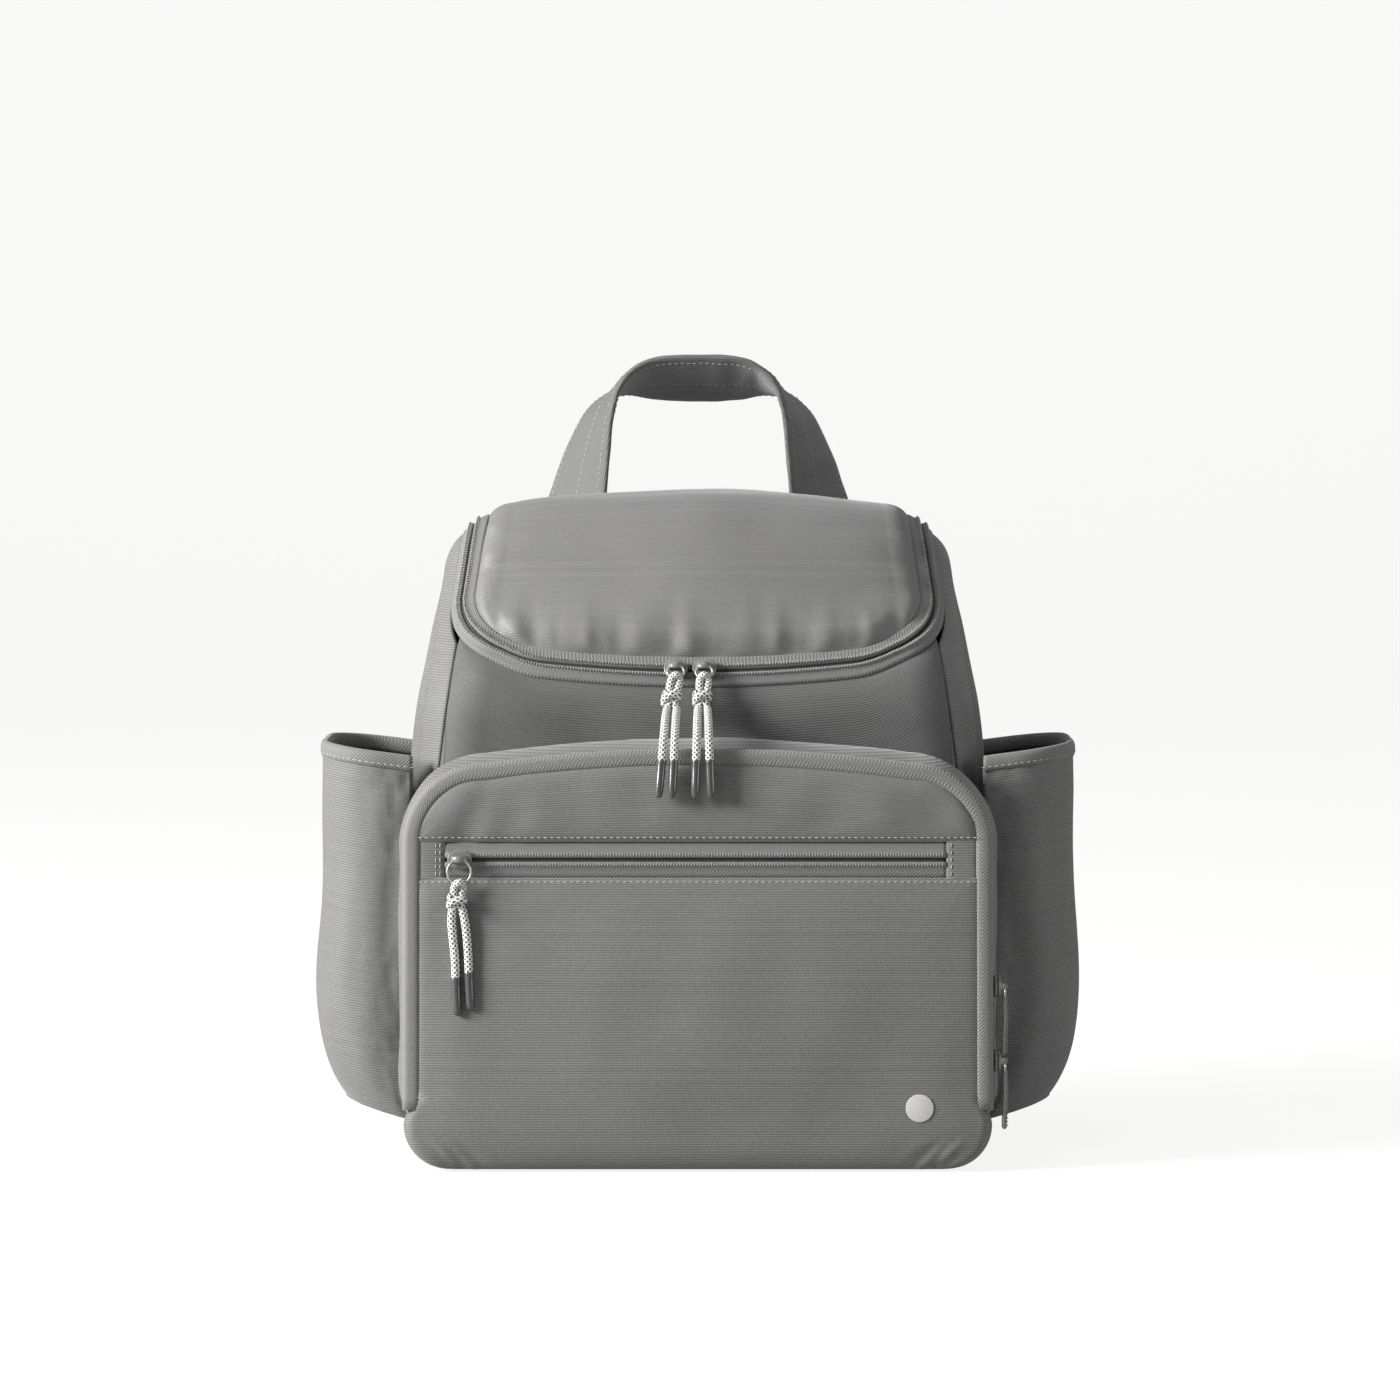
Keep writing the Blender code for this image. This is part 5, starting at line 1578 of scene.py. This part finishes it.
# ---- side pockets ----
@dataclass
class SidePocket:
    """Open side pocket with a bound rim."""

    side: str
    hand: int
    out: float = 0.046
    front: float = -0.043
    back: float = 0.053
    radius: float = 0.030
    foot: float = 0.016
    rim: float = 0.184
    rise: float = 0.006

    def plan(self, inset: float, bulge: float) -> list[Vector]:
        """Outline seen from above, from the front seam round to the back seam."""
        near, far = self.front + inset, self.back - inset
        out = BODY.half + self.out + bulge - inset
        radius = self.radius - inset
        start = BODY.half + 0.0006
        found = [(lerp(start, out - radius, t), near) for t in steps(0, 1, 8)[:-1]]
        for centre, first in ((near + radius, -90), (far - radius, 0)):
            for angle in steps(first, first + 90, 18):
                turn = math.radians(angle)
                found.append((out - radius + radius * math.cos(turn), centre + radius * math.sin(turn)))
        found += [(lerp(out - radius, start, t), far) for t in steps(0, 1, 8)[1:]]
        return [Vector((self.hand * x, y)) for x, y in found]

    def top(self, x: float) -> float:
        """Height of the rim."""
        return self.rim + self.rise * (abs(x) - BODY.half) / self.out

    def bulge(self, share: float) -> float:
        """How far the wall stands out at a share of its height."""
        return 0.0030 * math.exp(-((share - 0.30) / 0.22) ** 2) - 0.011 * math.exp(-share / 0.07) - 0.0006

    def wall(self) -> None:
        """Pocket wall and bottom."""
        rows = []
        for t, shrink in zip(steps(1, 0, 6), (0.9, 0.6, 0.4, 0.2, 0.08, 0.0)):
            row = []
            for spot in self.plan(0.0, self.bulge(0.0)):
                x = lerp(abs(spot.x), BODY.half + 0.001, shrink)
                y = lerp(spot.y, (self.front + self.back) / 2, shrink)
                foot = self.foot + 0.012 * ((x - BODY.half) / self.out)
                row.append(Vector((self.hand * x, y, foot - 0.004 * t)))
            rows.append(row)
        for share in near_edges(70):
            row = []
            for k, spot in enumerate(self.plan(0.0, self.bulge(share))):
                foot = self.foot + 0.012 * ((abs(spot.x) - BODY.half) / self.out)
                z = lerp(foot, self.top(spot.x), share)
                soft = ripple(k * 0.17, share * 2.6, 3.0 + self.hand) * 0.0016
                soft *= eased(share / 0.15) * eased((1 - share) / 0.12)
                edge = min(k, 53 - k) / 8
                gather = 0.0011 * ripple(share * 17, k * 0.5, 8.0) * math.exp(-edge)
                way = Vector((spot.x - self.hand * (BODY.half + 0.012), (spot.y - 0.005) * 0.8)).normalized()
                spot = spot + way * (soft + gather)
                row.append(Vector((spot.x, spot.y, z)))
            rows.append(row)
        inside = Vector((self.hand * 0.155, 0.005, 0.12))
        obj = Sheet("side_pocket_cloth_" + self.side, rows, Finish.RIBBED, 0.0024, Finish.LINING,
                    inside=inside, level_rows=True).build()
        self.level_weave(obj)
        place_piece(obj, "bag", ["side_pocket_" + self.side])

    def level_weave(self, obj: bpy.types.Object) -> None:
        """Ribs of the wall lie level, a little raised towards the outside like the rim."""
        layer = obj.data.uv_layers[WEAVE]
        for polygon in obj.data.polygons:
            for index in polygon.loop_indices:
                place = obj.data.vertices[obj.data.loops[index].vertex_index].co
                slope = self.rise * (abs(place.x) - BODY.half) / self.out
                across = place.y + abs(place.x)
                layer.data[index].uv = (across, place.z - slope)

    def binding(self) -> None:
        """Tape folded over the rim, its seam and its stitches."""
        profile = ((0.0016, -0.0008), (0.0022, 0.0008), (0.0021, 0.0045), (0.0014, 0.0062), (0.0, 0.0068),
                   (-0.0016, 0.0062), (-0.0023, 0.0045), (-0.0024, 0.0008), (-0.0018, -0.0008))
        middle = self.plan(0.0012, self.bulge(1.0))
        rows, line, outs = [], [], []
        for k, spot in enumerate(middle):
            way = beside(middle, k)
            out = Vector((way.y, -way.x)).normalized() * self.hand
            base = self.top(spot.x) + 0.0003
            rows.append([Vector((spot.x + out.x * a, spot.y + out.y * a, base + b)) for a, b in profile])
            line.append(Vector((spot.x + out.x * 0.0022, spot.y + out.y * 0.0022, base + 0.0012)))
            outs.append(Vector((out.x, out.y, 0.0)))
        binding = closed("side_pocket_binding_" + self.side, rows, Finish.TWILL)
        binding.placed("bag", ["pocket_binding_" + self.side])
        stitches = TOPSTITCH.along("side_pocket_stitches_" + self.side, [(line, outs)])
        place_piece(stitches, "bag")

    def build(self) -> None:
        """Every piece of the pocket."""
        self.wall()
        self.binding()


# ---- handle ----
@dataclass
class CarryHandle:
    """Carry handle with its sewn feet."""

    y: float = 0.081
    depth: float = 0.038
    thick: float = 0.0048
    foot: float = 0.298

    def edges(self) -> tuple[Points, Points]:
        """Front and back edge, from the right foot over the top to the left foot."""
        front = [(0.0465, self.foot), (0.0455, 0.316), (0.0440, 0.335), (0.0425, 0.352), (0.0375, 0.3690),
                 (0.0240, 0.3795), (0.0, 0.3815)]
        back = [(0.0790, self.foot), (0.0735, 0.314), (0.0660, 0.334), (0.0545, 0.3545), (0.0390, 0.3625),
                (0.0210, 0.3600), (0.0, 0.3590)]
        lines = []
        for side, points in ((-1, front), (1, back)):
            half = [Vector((x, self.y + side * self.depth / 2, z)) for x, z in points]
            whole = half + [Vector((-p.x, p.y, p.z)) for p in reversed(half[:-1])]
            lines.append(smooth_path(whole, 9))
        return lines[0], lines[1]

    def section(self, front: Vector, back: Vector, through: Vector, fullness: float) -> Points:
        """Rounded flat section between the two edges."""
        ring = []
        count = 30
        for k in range(count):
            angle = TAU * k / count
            across, lift = squared(math.cos(angle), 0.45), squared(math.sin(angle), 0.7)
            place = front.lerp(back, 0.5 - 0.5 * across)
            ring.append(place + through * (lift * fullness))
        return ring

    def stations(self) -> list[tuple[Vector, Vector, Vector]]:
        """Front edge, back edge and way through the strap, along it."""
        front, back = self.edges()
        found = []
        for i, (a, b) in enumerate(zip(front, back)):
            low, high = max(i - 1, 0), min(i + 1, len(front) - 1)
            way = (front[high] + back[high]) - (front[low] + back[low])
            through = (b - a).cross(way).normalized()
            found.append((a, b, through))
        return found

    def build(self) -> None:
        """Handle, feet and stitching."""
        stations = self.stations()
        half = self.thick / 2
        rows = []
        softs = [0.0007 * ripple(i * 0.23, 0.0, 2.0) for i in range(len(stations))]
        for soft, (a, b, through) in zip(softs, stations):
            rows.append(self.section(a, b, through, half + soft))
        closed("handle_strap", rows, Finish.LONGWISE).placed("handle", ["carry_handle"])
        lines = []
        for share, lift in ((0.09, 1), (0.45, 1), (0.91, 1), (0.09, -1), (0.55, -1), (0.91, -1)):
            line, outs = [], []
            for soft, (a, b, through) in zip(softs, stations):
                out = through * lift
                full = (half + soft) * (0.84 if share in (0.09, 0.91) else 1.0)
                line.append(a.lerp(b, share) + out * full)
                outs.append(out)
            lines.append((line, outs))
        place_piece(TOPSTITCH.along("handle_stitches", lines), "handle")
        self.feet(stations)

    def feet(self, stations: list[tuple[Vector, Vector, Vector]]) -> None:
        """Feet that turn in from the handle to the back panel."""
        for side, (a, b, through) in (("right", stations[0]), ("left", stations[-1])):
            hand = 1 if side == "right" else -1
            rows = []
            wall = BODY.back_y + 0.0015
            for t in steps(0, 1, 16):
                drop = 0.020 * t
                bend = eased(t)
                front = Vector((a.x, lerp(a.y, wall, bend), a.z - drop))
                back = Vector((lerp(b.x, b.x * 0.985, t), lerp(b.y, wall + 0.0016, bend), b.z - drop * 1.15))
                if bend > 0.0:
                    front.x = lerp(a.x, hand * 0.044, bend)
                fullness = lerp(self.thick / 2, 0.0016, bend)
                way = through.lerp(Vector((0, 1, 0)) * (1 if through.y >= 0 else -1), bend).normalized()
                rows.append(self.section(front, back, way, fullness))
            foot = closed("handle_foot_" + side, rows, Finish.LONGWISE).build()
            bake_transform(foot)
            LOG.info("%s: bends between bag and handle", foot.name)


# ---- shoulder straps ----
@dataclass
class ShoulderStrap:
    """Padded strap, its buckle, webbing and lower tab."""

    side: str
    hand: int
    width: float = 0.055
    thick: float = 0.010
    top_z: float = 0.270
    end_z: float = 0.092
    web: float = 0.025

    def route(self) -> Points:
        """Middle line of the padded strap."""
        y = BODY.back_y
        spots = ((0.048, y + 0.0075, self.top_z), (0.053, y + 0.0150, 0.252), (0.062, y + 0.0270, 0.222),
                 (0.070, y + 0.0340, 0.180), (0.078, y + 0.0310, 0.138), (0.084, y + 0.0210, self.end_z))
        return smooth_path([(self.hand * a, b, c) for a, b, c in spots], 12)

    def padding(self) -> None:
        """Padded strap with bound edges and stitch lines."""
        path = self.route()
        rows = []
        lines = {(-1, 1): ([], []), (1, 1): ([], []), (-1, -1): ([], []), (1, -1): ([], [])}
        last = len(path) - 1
        edges: dict[int, Points] = {-1: [], 1: []}
        for i, place in enumerate(path):
            way = beside(path, i).normalized()
            taper = lerp(1.0, 0.62, max(0.0, (i / last - 0.6) / 0.4))
            across = Vector((1, 0, 0)) * (self.width / 2 * taper)
            through = Vector((1, 0, 0)).cross(way).normalized()
            if i in (0, last):
                through = Vector((0, math.copysign(1.0, through.y), 0))
            ends = eased(0.25 + min(i, last - i) / 6)
            ring = []
            count = 36
            for k in range(count):
                angle = TAU * k / count
                u, v = squared(math.cos(angle), 0.55), squared(math.sin(angle), 0.8)
                dent = 1 - 0.28 * math.exp(-((abs(u) - 0.80) / 0.07) ** 2)
                wave = 1 + 0.05 * ripple(i * 0.16, u * 2, 3.0)
                ring.append(place + across * u + through * (v * self.thick / 2 * dent * wave * ends))
            rows.append(ring)
            for (hand, face), (line, outs) in lines.items():
                rise = face * self.thick * 0.355 * ends * 0.93
                line.append(place + across * (hand * 0.80) + through * rise)
                outs.append(through * face)
            for hand in edges:
                edges[hand].append(place + across * hand)
        pad = closed("shoulder_pad_" + self.side, rows, Finish.RIBBED)
        pad.placed("bag", ["shoulder_strap_" + self.side])
        stitches = TOPSTITCH.along("shoulder_pad_stitches_" + self.side, list(lines.values()))
        place_piece(stitches, "bag")
        for hand, points in edges.items():
            piping = tube("shoulder_piping_%s_%s" % (self.side, "a" if hand < 0 else "b"), points[1:-1],
                          0.0014, Finish.EDGING, 8)
            place_piece(piping, "bag")

    def hardware(self) -> None:
        """Buckle, webbing and tab."""
        end = self.route()[-1]
        low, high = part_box("ladder_lock_" + self.side)
        middle = (low + high) / 2
        half_x, half_z = (high.x - low.x) / 2, (high.z - low.z) / 2
        turn = Matrix.Translation(middle) @ Matrix.Rotation(math.pi / 2, 4, "X")
        parts = []
        for half, low_y, high_y, radius, back, front in (
                (half_x, half_z - 0.0046, half_z - 0.0002, 0.0018, -0.0024, 0.0024),
                (half_x, -half_z + 0.0002, -half_z + 0.0048, 0.0020, -0.0024, 0.0024),
                (half_x - 0.002, -0.0022, 0.0022, 0.0012, -0.0018, 0.0020)):
            outline = round_box(half, low_y, high_y, radius)
            parts.append(block("bar", outline, back, front, turn, Finish.BUCKLE, 0.0008))
        for hand in (-1, 1):
            rail = [(hand * (half_x - 0.0034), -half_z + 0.001), (hand * half_x, -half_z + 0.001),
                    (hand * half_x, half_z - 0.001), (hand * (half_x - 0.0034), half_z - 0.001)]
            parts.append(block("rail", rail[::hand], -0.0022, 0.0022, turn, Finish.BUCKLE, 0.0008))
        buckle = merged("buckle_" + self.side, parts)
        place_piece(buckle, "bag", ["ladder_lock_" + self.side])

        tab = Vector((self.hand * 0.102, BODY.back_y + 0.0040, 0.034))
        spots = [(end.x, end.y, self.end_z - 0.0005), (end.x, end.y + 0.0005, 0.082), (end.x, end.y, 0.071),
                 (lerp(end.x, tab.x, 0.3), end.y - 0.002, 0.060),
                 (lerp(end.x, tab.x, 0.7), lerp(end.y, tab.y, 0.6), 0.045), (tab.x, tab.y, 0.0345)]
        rows = []
        for place in smooth_path(spots, 8):
            rows.append([place + Vector((self.web / 2 * u, v * 0.0009, 0))
                         for u, v in ((-1, 0.5), (-0.97, 1), (0, 1), (0.97, 1), (1, 0.5), (1, -0.5),
                                      (0.97, -1), (0, -1), (-0.97, -1), (-1, -0.5))])
        web = closed("strap_web_" + self.side, rows, Finish.WEBBING)
        web.placed("bag", ["strap_webbing_" + self.side])
        rows = []
        for t in near_edges(14):
            centre = tab + Vector((self.hand * 0.004 * t, 0, -0.024 * t))
            half = lerp(0.015, 0.009, t)
            swell = 0.0015 * eased(0.3 + min(t, 1 - t) * 6)
            rows.append([centre + Vector((half * u, v * swell, 0)) for u, v in
                         ((-1, 0), (-0.94, 1), (0, 1), (0.94, 1), (1, 0), (0.94, -1), (0, -1), (-0.94, -1))])
        lower = closed("lower_tab_" + self.side, rows, Finish.RIBBED)
        lower.placed("bag", ["strap_tab_" + self.side])

    def build(self) -> None:
        """Every piece of the strap."""
        self.padding()
        self.hardware()


# ---- zip sliders and pulls ----
@dataclass
class Slider:
    """Zip slider in its frame: X along the zip, Y across it, Z out of the cloth."""

    name: str
    turn: Matrix
    body: str
    nose: int = 1
    across: bool = False
    size: tuple[float, float] = (0.0115, 0.0090)

    def build(self) -> None:
        """Two plates, the post between them and the bridge that the ring hangs from."""
        length, width = self.size
        plate = []
        for k in range(28):
            angle = TAU * k / 28
            x, y = math.cos(angle), math.sin(angle)
            narrow = 1.0 - 0.30 * eased((self.nose * x + 0.1) / 1.1)
            plate.append((squared(x, 0.65) * length / 2, squared(y, 0.65) * width / 2 * narrow))
        parts = [block("plate", plate, 0.0002, 0.0014, self.turn, Finish.PAINTED, 0.0004),
                 block("plate", plate, 0.0020, 0.0032, self.turn, Finish.PAINTED, 0.0005),
                 block("post", round_box(0.0022, -0.0030, 0.0030, 0.001), 0.0010, 0.0024, self.turn,
                       Finish.PAINTED, 0.0002)]
        arc = self.turn @ (Matrix.Rotation(math.pi / 2, 4, "Z") if self.across else Matrix.Identity(4))
        path = []
        for t in steps(0, 1, 16):
            x = lerp(-0.0036, 0.0036, t)
            z = 0.0028 + 0.0031 * math.sin(math.pi * t) ** 0.5
            path.append(Vector((x, 0, z)))
        rows = []
        for i, spot in enumerate(path):
            way = beside(path, i).normalized()
            up = Vector((-way.z, 0, way.x))
            rows.append([arc @ (spot + Vector((0, 1, 0)) * (0.0017 * math.cos(TAU * k / 10))
                                + up * (0.00065 * math.sin(TAU * k / 10))) for k in range(10)])
        parts.append(closed("bridge", rows, Finish.PAINTED).build())
        slider = merged(self.name + "_body", parts)
        place_piece(slider, self.body, [self.name])


@dataclass
class CordPull:
    """Wire ring, knotted cord with two hanging ends, and their moulded tips."""

    name: str
    turn: Matrix
    ring: tuple[float, float]
    knot: Vector
    strands: tuple[Points, Points]
    lift: float = PIN
    cord_d: float = 0.0040
    tip_l: float = 0.0165
    tip_d: float = 0.0044

    def hoop(self) -> Points:
        """Middle line of the wire ring."""
        width, height = self.ring
        return [self.turn @ Vector((width / 2 * math.sin(a), height / 2 * (math.cos(a) - 1), self.lift))
                for a in (TAU * k / 40 for k in range(40))]

    def knotted(self) -> bpy.types.Object:
        """Cord doubled through the ring, and the overhand knot below it."""
        low = self.turn @ Vector((0, -self.ring[1], self.lift))
        up = (low - self.knot).normalized()
        side = (self.strands[1][0] - self.strands[0][0]).normalized()
        face = side.cross(up).normalized()
        if face.y > 0:
            face = -face
        radius = self.cord_d / 2 * 0.95
        top = low + up * 0.0008
        a, b = self.strands[0][0], self.strands[1][0]
        parts = []
        loop = [a, a.lerp(self.knot, 0.6) - side * 0.0002, self.knot - side * 0.0016 + up * 0.0012,
                low - side * 0.0019 - up * 0.0012 + face * 0.0004, top + face * 0.0016,
                low + side * 0.0019 - up * 0.0012 - face * 0.0006, self.knot + side * 0.0016 + up * 0.0010,
                b.lerp(self.knot, 0.6) + side * 0.0002, b]
        parts.append(tube("loop", smooth_path(loop, 6), radius, Finish.CORD, 12))
        wrap = []
        for k in range(34):
            angle = TAU * 1.22 * k / 33 + 2.6
            reach = 0.0030 + 0.0005 * math.sin(angle * 2)
            rise = lerp(0.0018, -0.0022, k / 33) + 0.0010 * math.sin(angle)
            bulk = 0.0024 * math.sin(angle) + 0.0004
            wrap.append(self.knot + side * (reach * math.cos(angle)) + face * bulk + up * rise)
        parts.append(tube("wrap", wrap, radius * 0.98, Finish.CORD, 12))
        return merged(self.name + "_knot_cord", parts)

    def tip(self, letter: str, path: Points) -> bpy.types.Object:
        """Moulded end of a strand, rounded at its foot and lipped at its mouth."""
        way = (path[-1] - path[-2]).normalized()
        start = path[-1] - way * 0.0012
        length = self.tip_l + 0.0015
        shares = ((0.0, 0.80), (0.004, 0.98), (0.03, 1.0), (0.06, 0.97), (0.3, 0.96), (0.6, 0.94),
                  (0.82, 0.90), (0.91, 0.80), (0.965, 0.58), (0.99, 0.32), (1.0, 0.08))
        line = [start + way * (length * t) for t, _ in shares]
        obj = tube("%s_end_%s" % (self.name, letter), line, [self.tip_d / 2 * r for _, r in shares],
                   Finish.TIP, 20)
        return place_piece(obj, self.name, ["%s_tip_%s" % (self.name, letter)])

    def build(self) -> None:
        """Every piece of the pull."""
        ring = tube(self.name + "_wire", self.hoop(), 0.0006, Finish.WIRE, 8, loop=True)
        place_piece(ring, self.name, [self.name + "_ring"])
        knot = self.knotted()
        place_piece(knot, self.name, [self.name + "_knot"])
        for letter, path in zip("ab", self.strands):
            cord = tube("%s_strand_%s" % (self.name, letter), path, self.cord_d / 2, Finish.CORD, 14)
            place_piece(cord, self.name, ["%s_cord_%s" % (self.name, letter)])
            end = self.tip(letter, path)


@dataclass
class Pulls:
    """All sliders with what hangs from them."""

    pocket: FrontPocket

    @staticmethod
    def lid_frame(x: float) -> Matrix:
        """Slider frame on the front run of the lid zip."""
        here = BODY.on_track(x, 0)
        along = (BODY.on_track(x + 0.002, 0) - BODY.on_track(x - 0.002, 0)).normalized()
        up = (BODY.on_track(x, -0.002) - BODY.on_track(x, 0.002)).normalized()
        out = along.cross(up).normalized()
        return Matrix.Translation(here + out * 0.0003) @ Matrix((along, up, out)).transposed().to_4x4()

    def lid(self) -> None:
        """The lid's two sliders and cords."""
        over = ((-0.0575, 0.2145), (-0.0660, 0.2125), (-0.0760, 0.2085), (-0.0845, 0.2030), (-0.0875, 0.1970),
                (-0.0885, 0.1915))
        sides = {"left": (-0.0105, -0.0125, ((-0.0146, -0.0170), (-0.0101, -0.0114)), 1),
                 "right": (0.0030, 0.0022, ((0.0001, -0.0008), (0.0045, 0.0056)), -1)}
        for side, (x, knot_x, ends, nose) in sides.items():
            turn = self.lid_frame(x)
            Slider("lid_slider_" + side, turn, "lid_slider_" + side, nose).build()
            strands = [smooth_path([(lerp(top, bottom, k / 5), y, z) for k, (y, z) in enumerate(over)], 8)
                       for top, bottom in ends]
            knot = Vector((knot_x, over[0][0] + 0.0015, 0.2200))
            CordPull("lid_pull_" + side, turn, (0.0080, 0.0068), knot, (strands[0], strands[1])).build()

    def slit(self) -> None:
        """The slit pocket's slider and cord."""
        pocket = self.pocket
        turn = pocket.face @ Matrix.Translation((-0.1120, pocket.slit, -0.0005))
        Slider("slit_slider", turn, "slit_slider", -1).build()
        stand = -(0.0020 + 0.0014)
        routes = (((-0.1152, 0.1235), (-0.1156, 0.1180), (-0.1150, 0.1100), (-0.1140, 0.1010),
                   (-0.1135, 0.0900)),
                  ((-0.1106, 0.1235), (-0.1094, 0.1180), (-0.1084, 0.1100), (-0.1078, 0.1020),
                   (-0.1074, 0.0925)))
        strands = [smooth_path([pocket.on_face(x, v, stand) for x, v in route], 8) for route in routes]
        knot = pocket.on_face(-0.1130, 0.1275, stand - 0.0008)
        CordPull("slit_pull", turn, (0.0112, 0.0115), knot, (strands[0], strands[1])).build()

    def flap(self) -> None:
        """The two sliders of the flap's zip, with wire links and cloth tabs."""
        pocket = self.pocket
        along = Vector((0, math.sin(pocket.lean), math.cos(pocket.lean)))
        out = Vector((1, 0, 0))
        side = out.cross(along)
        for which, v in (("upper", 0.0870), ("lower", 0.0520)):
            place = pocket.on_face(pocket.half, v, 0.0064) + out * 0.0003
            turn = Matrix.Translation(place) @ Matrix((along, side, out)).transposed().to_4x4()
            Slider("flap_slider_" + which, turn, "flap_slider_" + which, 1, True, (0.0105, 0.0080)).build()
            pin = turn @ Vector((0, 0, PIN))
            hoop = [pin + along * (0.0030 * (math.cos(a) - 1)) + side * (0.0034 * math.sin(a))
                    for a in (TAU * k / 30 for k in range(30))]
            link = tube("link", hoop, 0.0006, Finish.WIRE, 8, loop=True)
            top = pin - along * 0.0048
            rows = []
            for t in near_edges(30):
                wide = 0.00325 * (1.0 - 0.25 * math.exp(-t / 0.05))
                thick = 0.0011 * (1 + 0.35 * math.exp(-t / 0.06)) * eased(0.4 + (1 - t) / 0.06)
                centre = top - along * (0.0272 * t) + out * (0.0004 * math.sin(t * 5))
                rows.append([centre + side * (wide * a) + out * (thick * b) for a, b in
                             ((-1, 0), (-0.9, 0.8), (-0.6, 1), (0, 1), (0.6, 1), (0.9, 0.8),
                              (1, 0), (0.9, -0.8), (0.6, -1), (0, -1), (-0.6, -1), (-0.9, -0.8))])
            tab = closed("tab", rows, Finish.TAB).build()
            pull = merged("flap_pull_%s_tab" % which, [tab, link])
            place_piece(pull, "flap_pull_" + which, ["flap_pull_" + which])
            lines = []
            for face in (-1, 1):
                for hand in (-0.6, 0.6):
                    line = [top - along * s + side * (0.00325 * hand) + out * (face * 0.0011)
                            for s in steps(0.003, 0.0255, 12)]
                    lines.append((line, [out * face] * len(line)))
            stitches = TAB_STITCH.along("flap_pull_%s_stitches" % which, lines)
            place_piece(stitches, "flap_pull_" + which)

    def build(self) -> None:
        """Every slider and pull."""
        self.lid()
        self.slit()
        self.flap()


# ---- studio ----
@dataclass
class Studio:
    """Pale floor, soft lights and the camera."""

    distance: float = 2.5
    elevation: float = math.radians(4.0)
    width: float = 0.672
    sky_light: float = 0.125
    sky_seen: float = 0.92
    target: Vector = field(default_factory=lambda: Vector((0.001, -0.03, 0.217)))

    def camera(self) -> None:
        """Long lens straight in front, a little above."""
        data = bpy.data.cameras.new("camera")
        data.sensor_width = 36.0
        data.lens = 36.0 * self.distance / self.width
        data.clip_end = 50.0
        obj = linked("camera", data)
        back = Vector((0, -math.cos(self.elevation), math.sin(self.elevation)))
        obj.location = self.target + back * self.distance
        obj.rotation_euler = (-back).to_track_quat("-Z", "Y").to_euler()
        bpy.context.scene.camera = obj

    def floor(self) -> None:
        """Seamless pale sweep."""
        material = bpy.data.materials.new("pale floor")
        material.use_nodes = True
        nodes, links = material.node_tree.nodes, material.node_tree.links
        seen, lit = nodes["Principled BSDF"], nodes.new("ShaderNodeBsdfPrincipled")
        for surface, level, glow in ((seen, 0.14, 0.865), (lit, 0.30, 0.10)):
            surface.inputs["Base Color"].default_value = (level, level, level * 0.995, 1.0)
            surface.inputs["Roughness"].default_value = 0.9
            surface.inputs["Emission Color"].default_value = (1.0, 1.0, 0.995, 1.0)
            surface.inputs["Emission Strength"].default_value = glow
        either, ray = nodes.new("ShaderNodeMixShader"), nodes.new("ShaderNodeLightPath")
        links.new(ray.outputs["Is Camera Ray"], either.inputs[0])
        links.new(lit.outputs[0], either.inputs[1])
        links.new(seen.outputs[0], either.inputs[2])
        links.new(either.outputs[0], nodes["Material Output"].inputs["Surface"])
        profile = [(-5.0, 0.0), (3.2, 0.0)]
        profile += [(3.2 + 0.8 * math.sin(a), 0.8 - 0.8 * math.cos(a)) for a in steps(0, math.pi / 2, 12)[1:]]
        profile.append((4.0, 5.0))
        mesh_data = bmesh.new()
        lines = [[mesh_data.verts.new((x, y, z - 0.0006)) for y, z in profile] for x in (-5.0, 5.0)]
        for k in range(len(profile) - 1):
            face = mesh_data.faces.new((lines[0][k], lines[1][k], lines[1][k + 1], lines[0][k + 1]))
            face.smooth = True
        mesh = bpy.data.meshes.new("studio_floor")
        mesh_data.to_mesh(mesh)
        mesh_data.free()
        mesh.materials.append(material)
        obj = linked("studio_floor", mesh)

    @staticmethod
    def light(name: str, place: tuple[float, float, float], aim: tuple[float, float, float], size: float,
              power: float) -> None:
        """Soft square light aimed at a point."""
        data = bpy.data.lights.new(name, "AREA")
        data.size = size
        data.energy = power
        obj = linked(name, data)
        obj.location = place
        obj.rotation_euler = (Vector(aim) - Vector(place)).to_track_quat("-Z", "Y").to_euler()

    def build(self) -> None:
        """Everything round the bag."""
        self.camera()
        self.floor()
        self.light("key", (-2.0, -0.76, 0.95), (0, 0, 0.17), 0.8, 120.0)
        self.light("fill", (2.3, -0.9, 0.7), (0, 0, 0.17), 1.2, 18.0)
        self.light("top", (-0.3, -0.3, 2.0), (0, 0, 0.2), 0.9, 9.0)
        world = bpy.data.worlds.new("studio")
        bpy.context.scene.world = world
        world.use_nodes = True
        sky = world.node_tree.nodes["Background"]
        sky.inputs["Color"].default_value = (1.0, 1.0, 1.0, 1.0)
        seen = world.node_tree.nodes.new("ShaderNodeLightPath")
        level = world.node_tree.nodes.new("ShaderNodeMapRange")
        level.inputs["To Min"].default_value = self.sky_light
        level.inputs["To Max"].default_value = self.sky_seen
        world.node_tree.links.new(seen.outputs["Is Camera Ray"], level.inputs["Value"])
        world.node_tree.links.new(level.outputs["Result"], sky.inputs["Strength"])
        bpy.context.scene.view_settings.view_transform = "Standard"


def main() -> None:
    """Build the studio and every part of the bag."""
    logging.basicConfig(level=logging.INFO, format="%(message)s")
    Studio().build()
    pocket = FrontPocket()
    Pulls(pocket).build()
    Lid().build()
    Shell().build()
    pocket.build()
    for side, hand in (("left", -1), ("right", 1)):
        SidePocket(side, hand).build()
        ShoulderStrap(side, hand).build()
    CarryHandle().build()


if __name__ == "__main__":
    main()
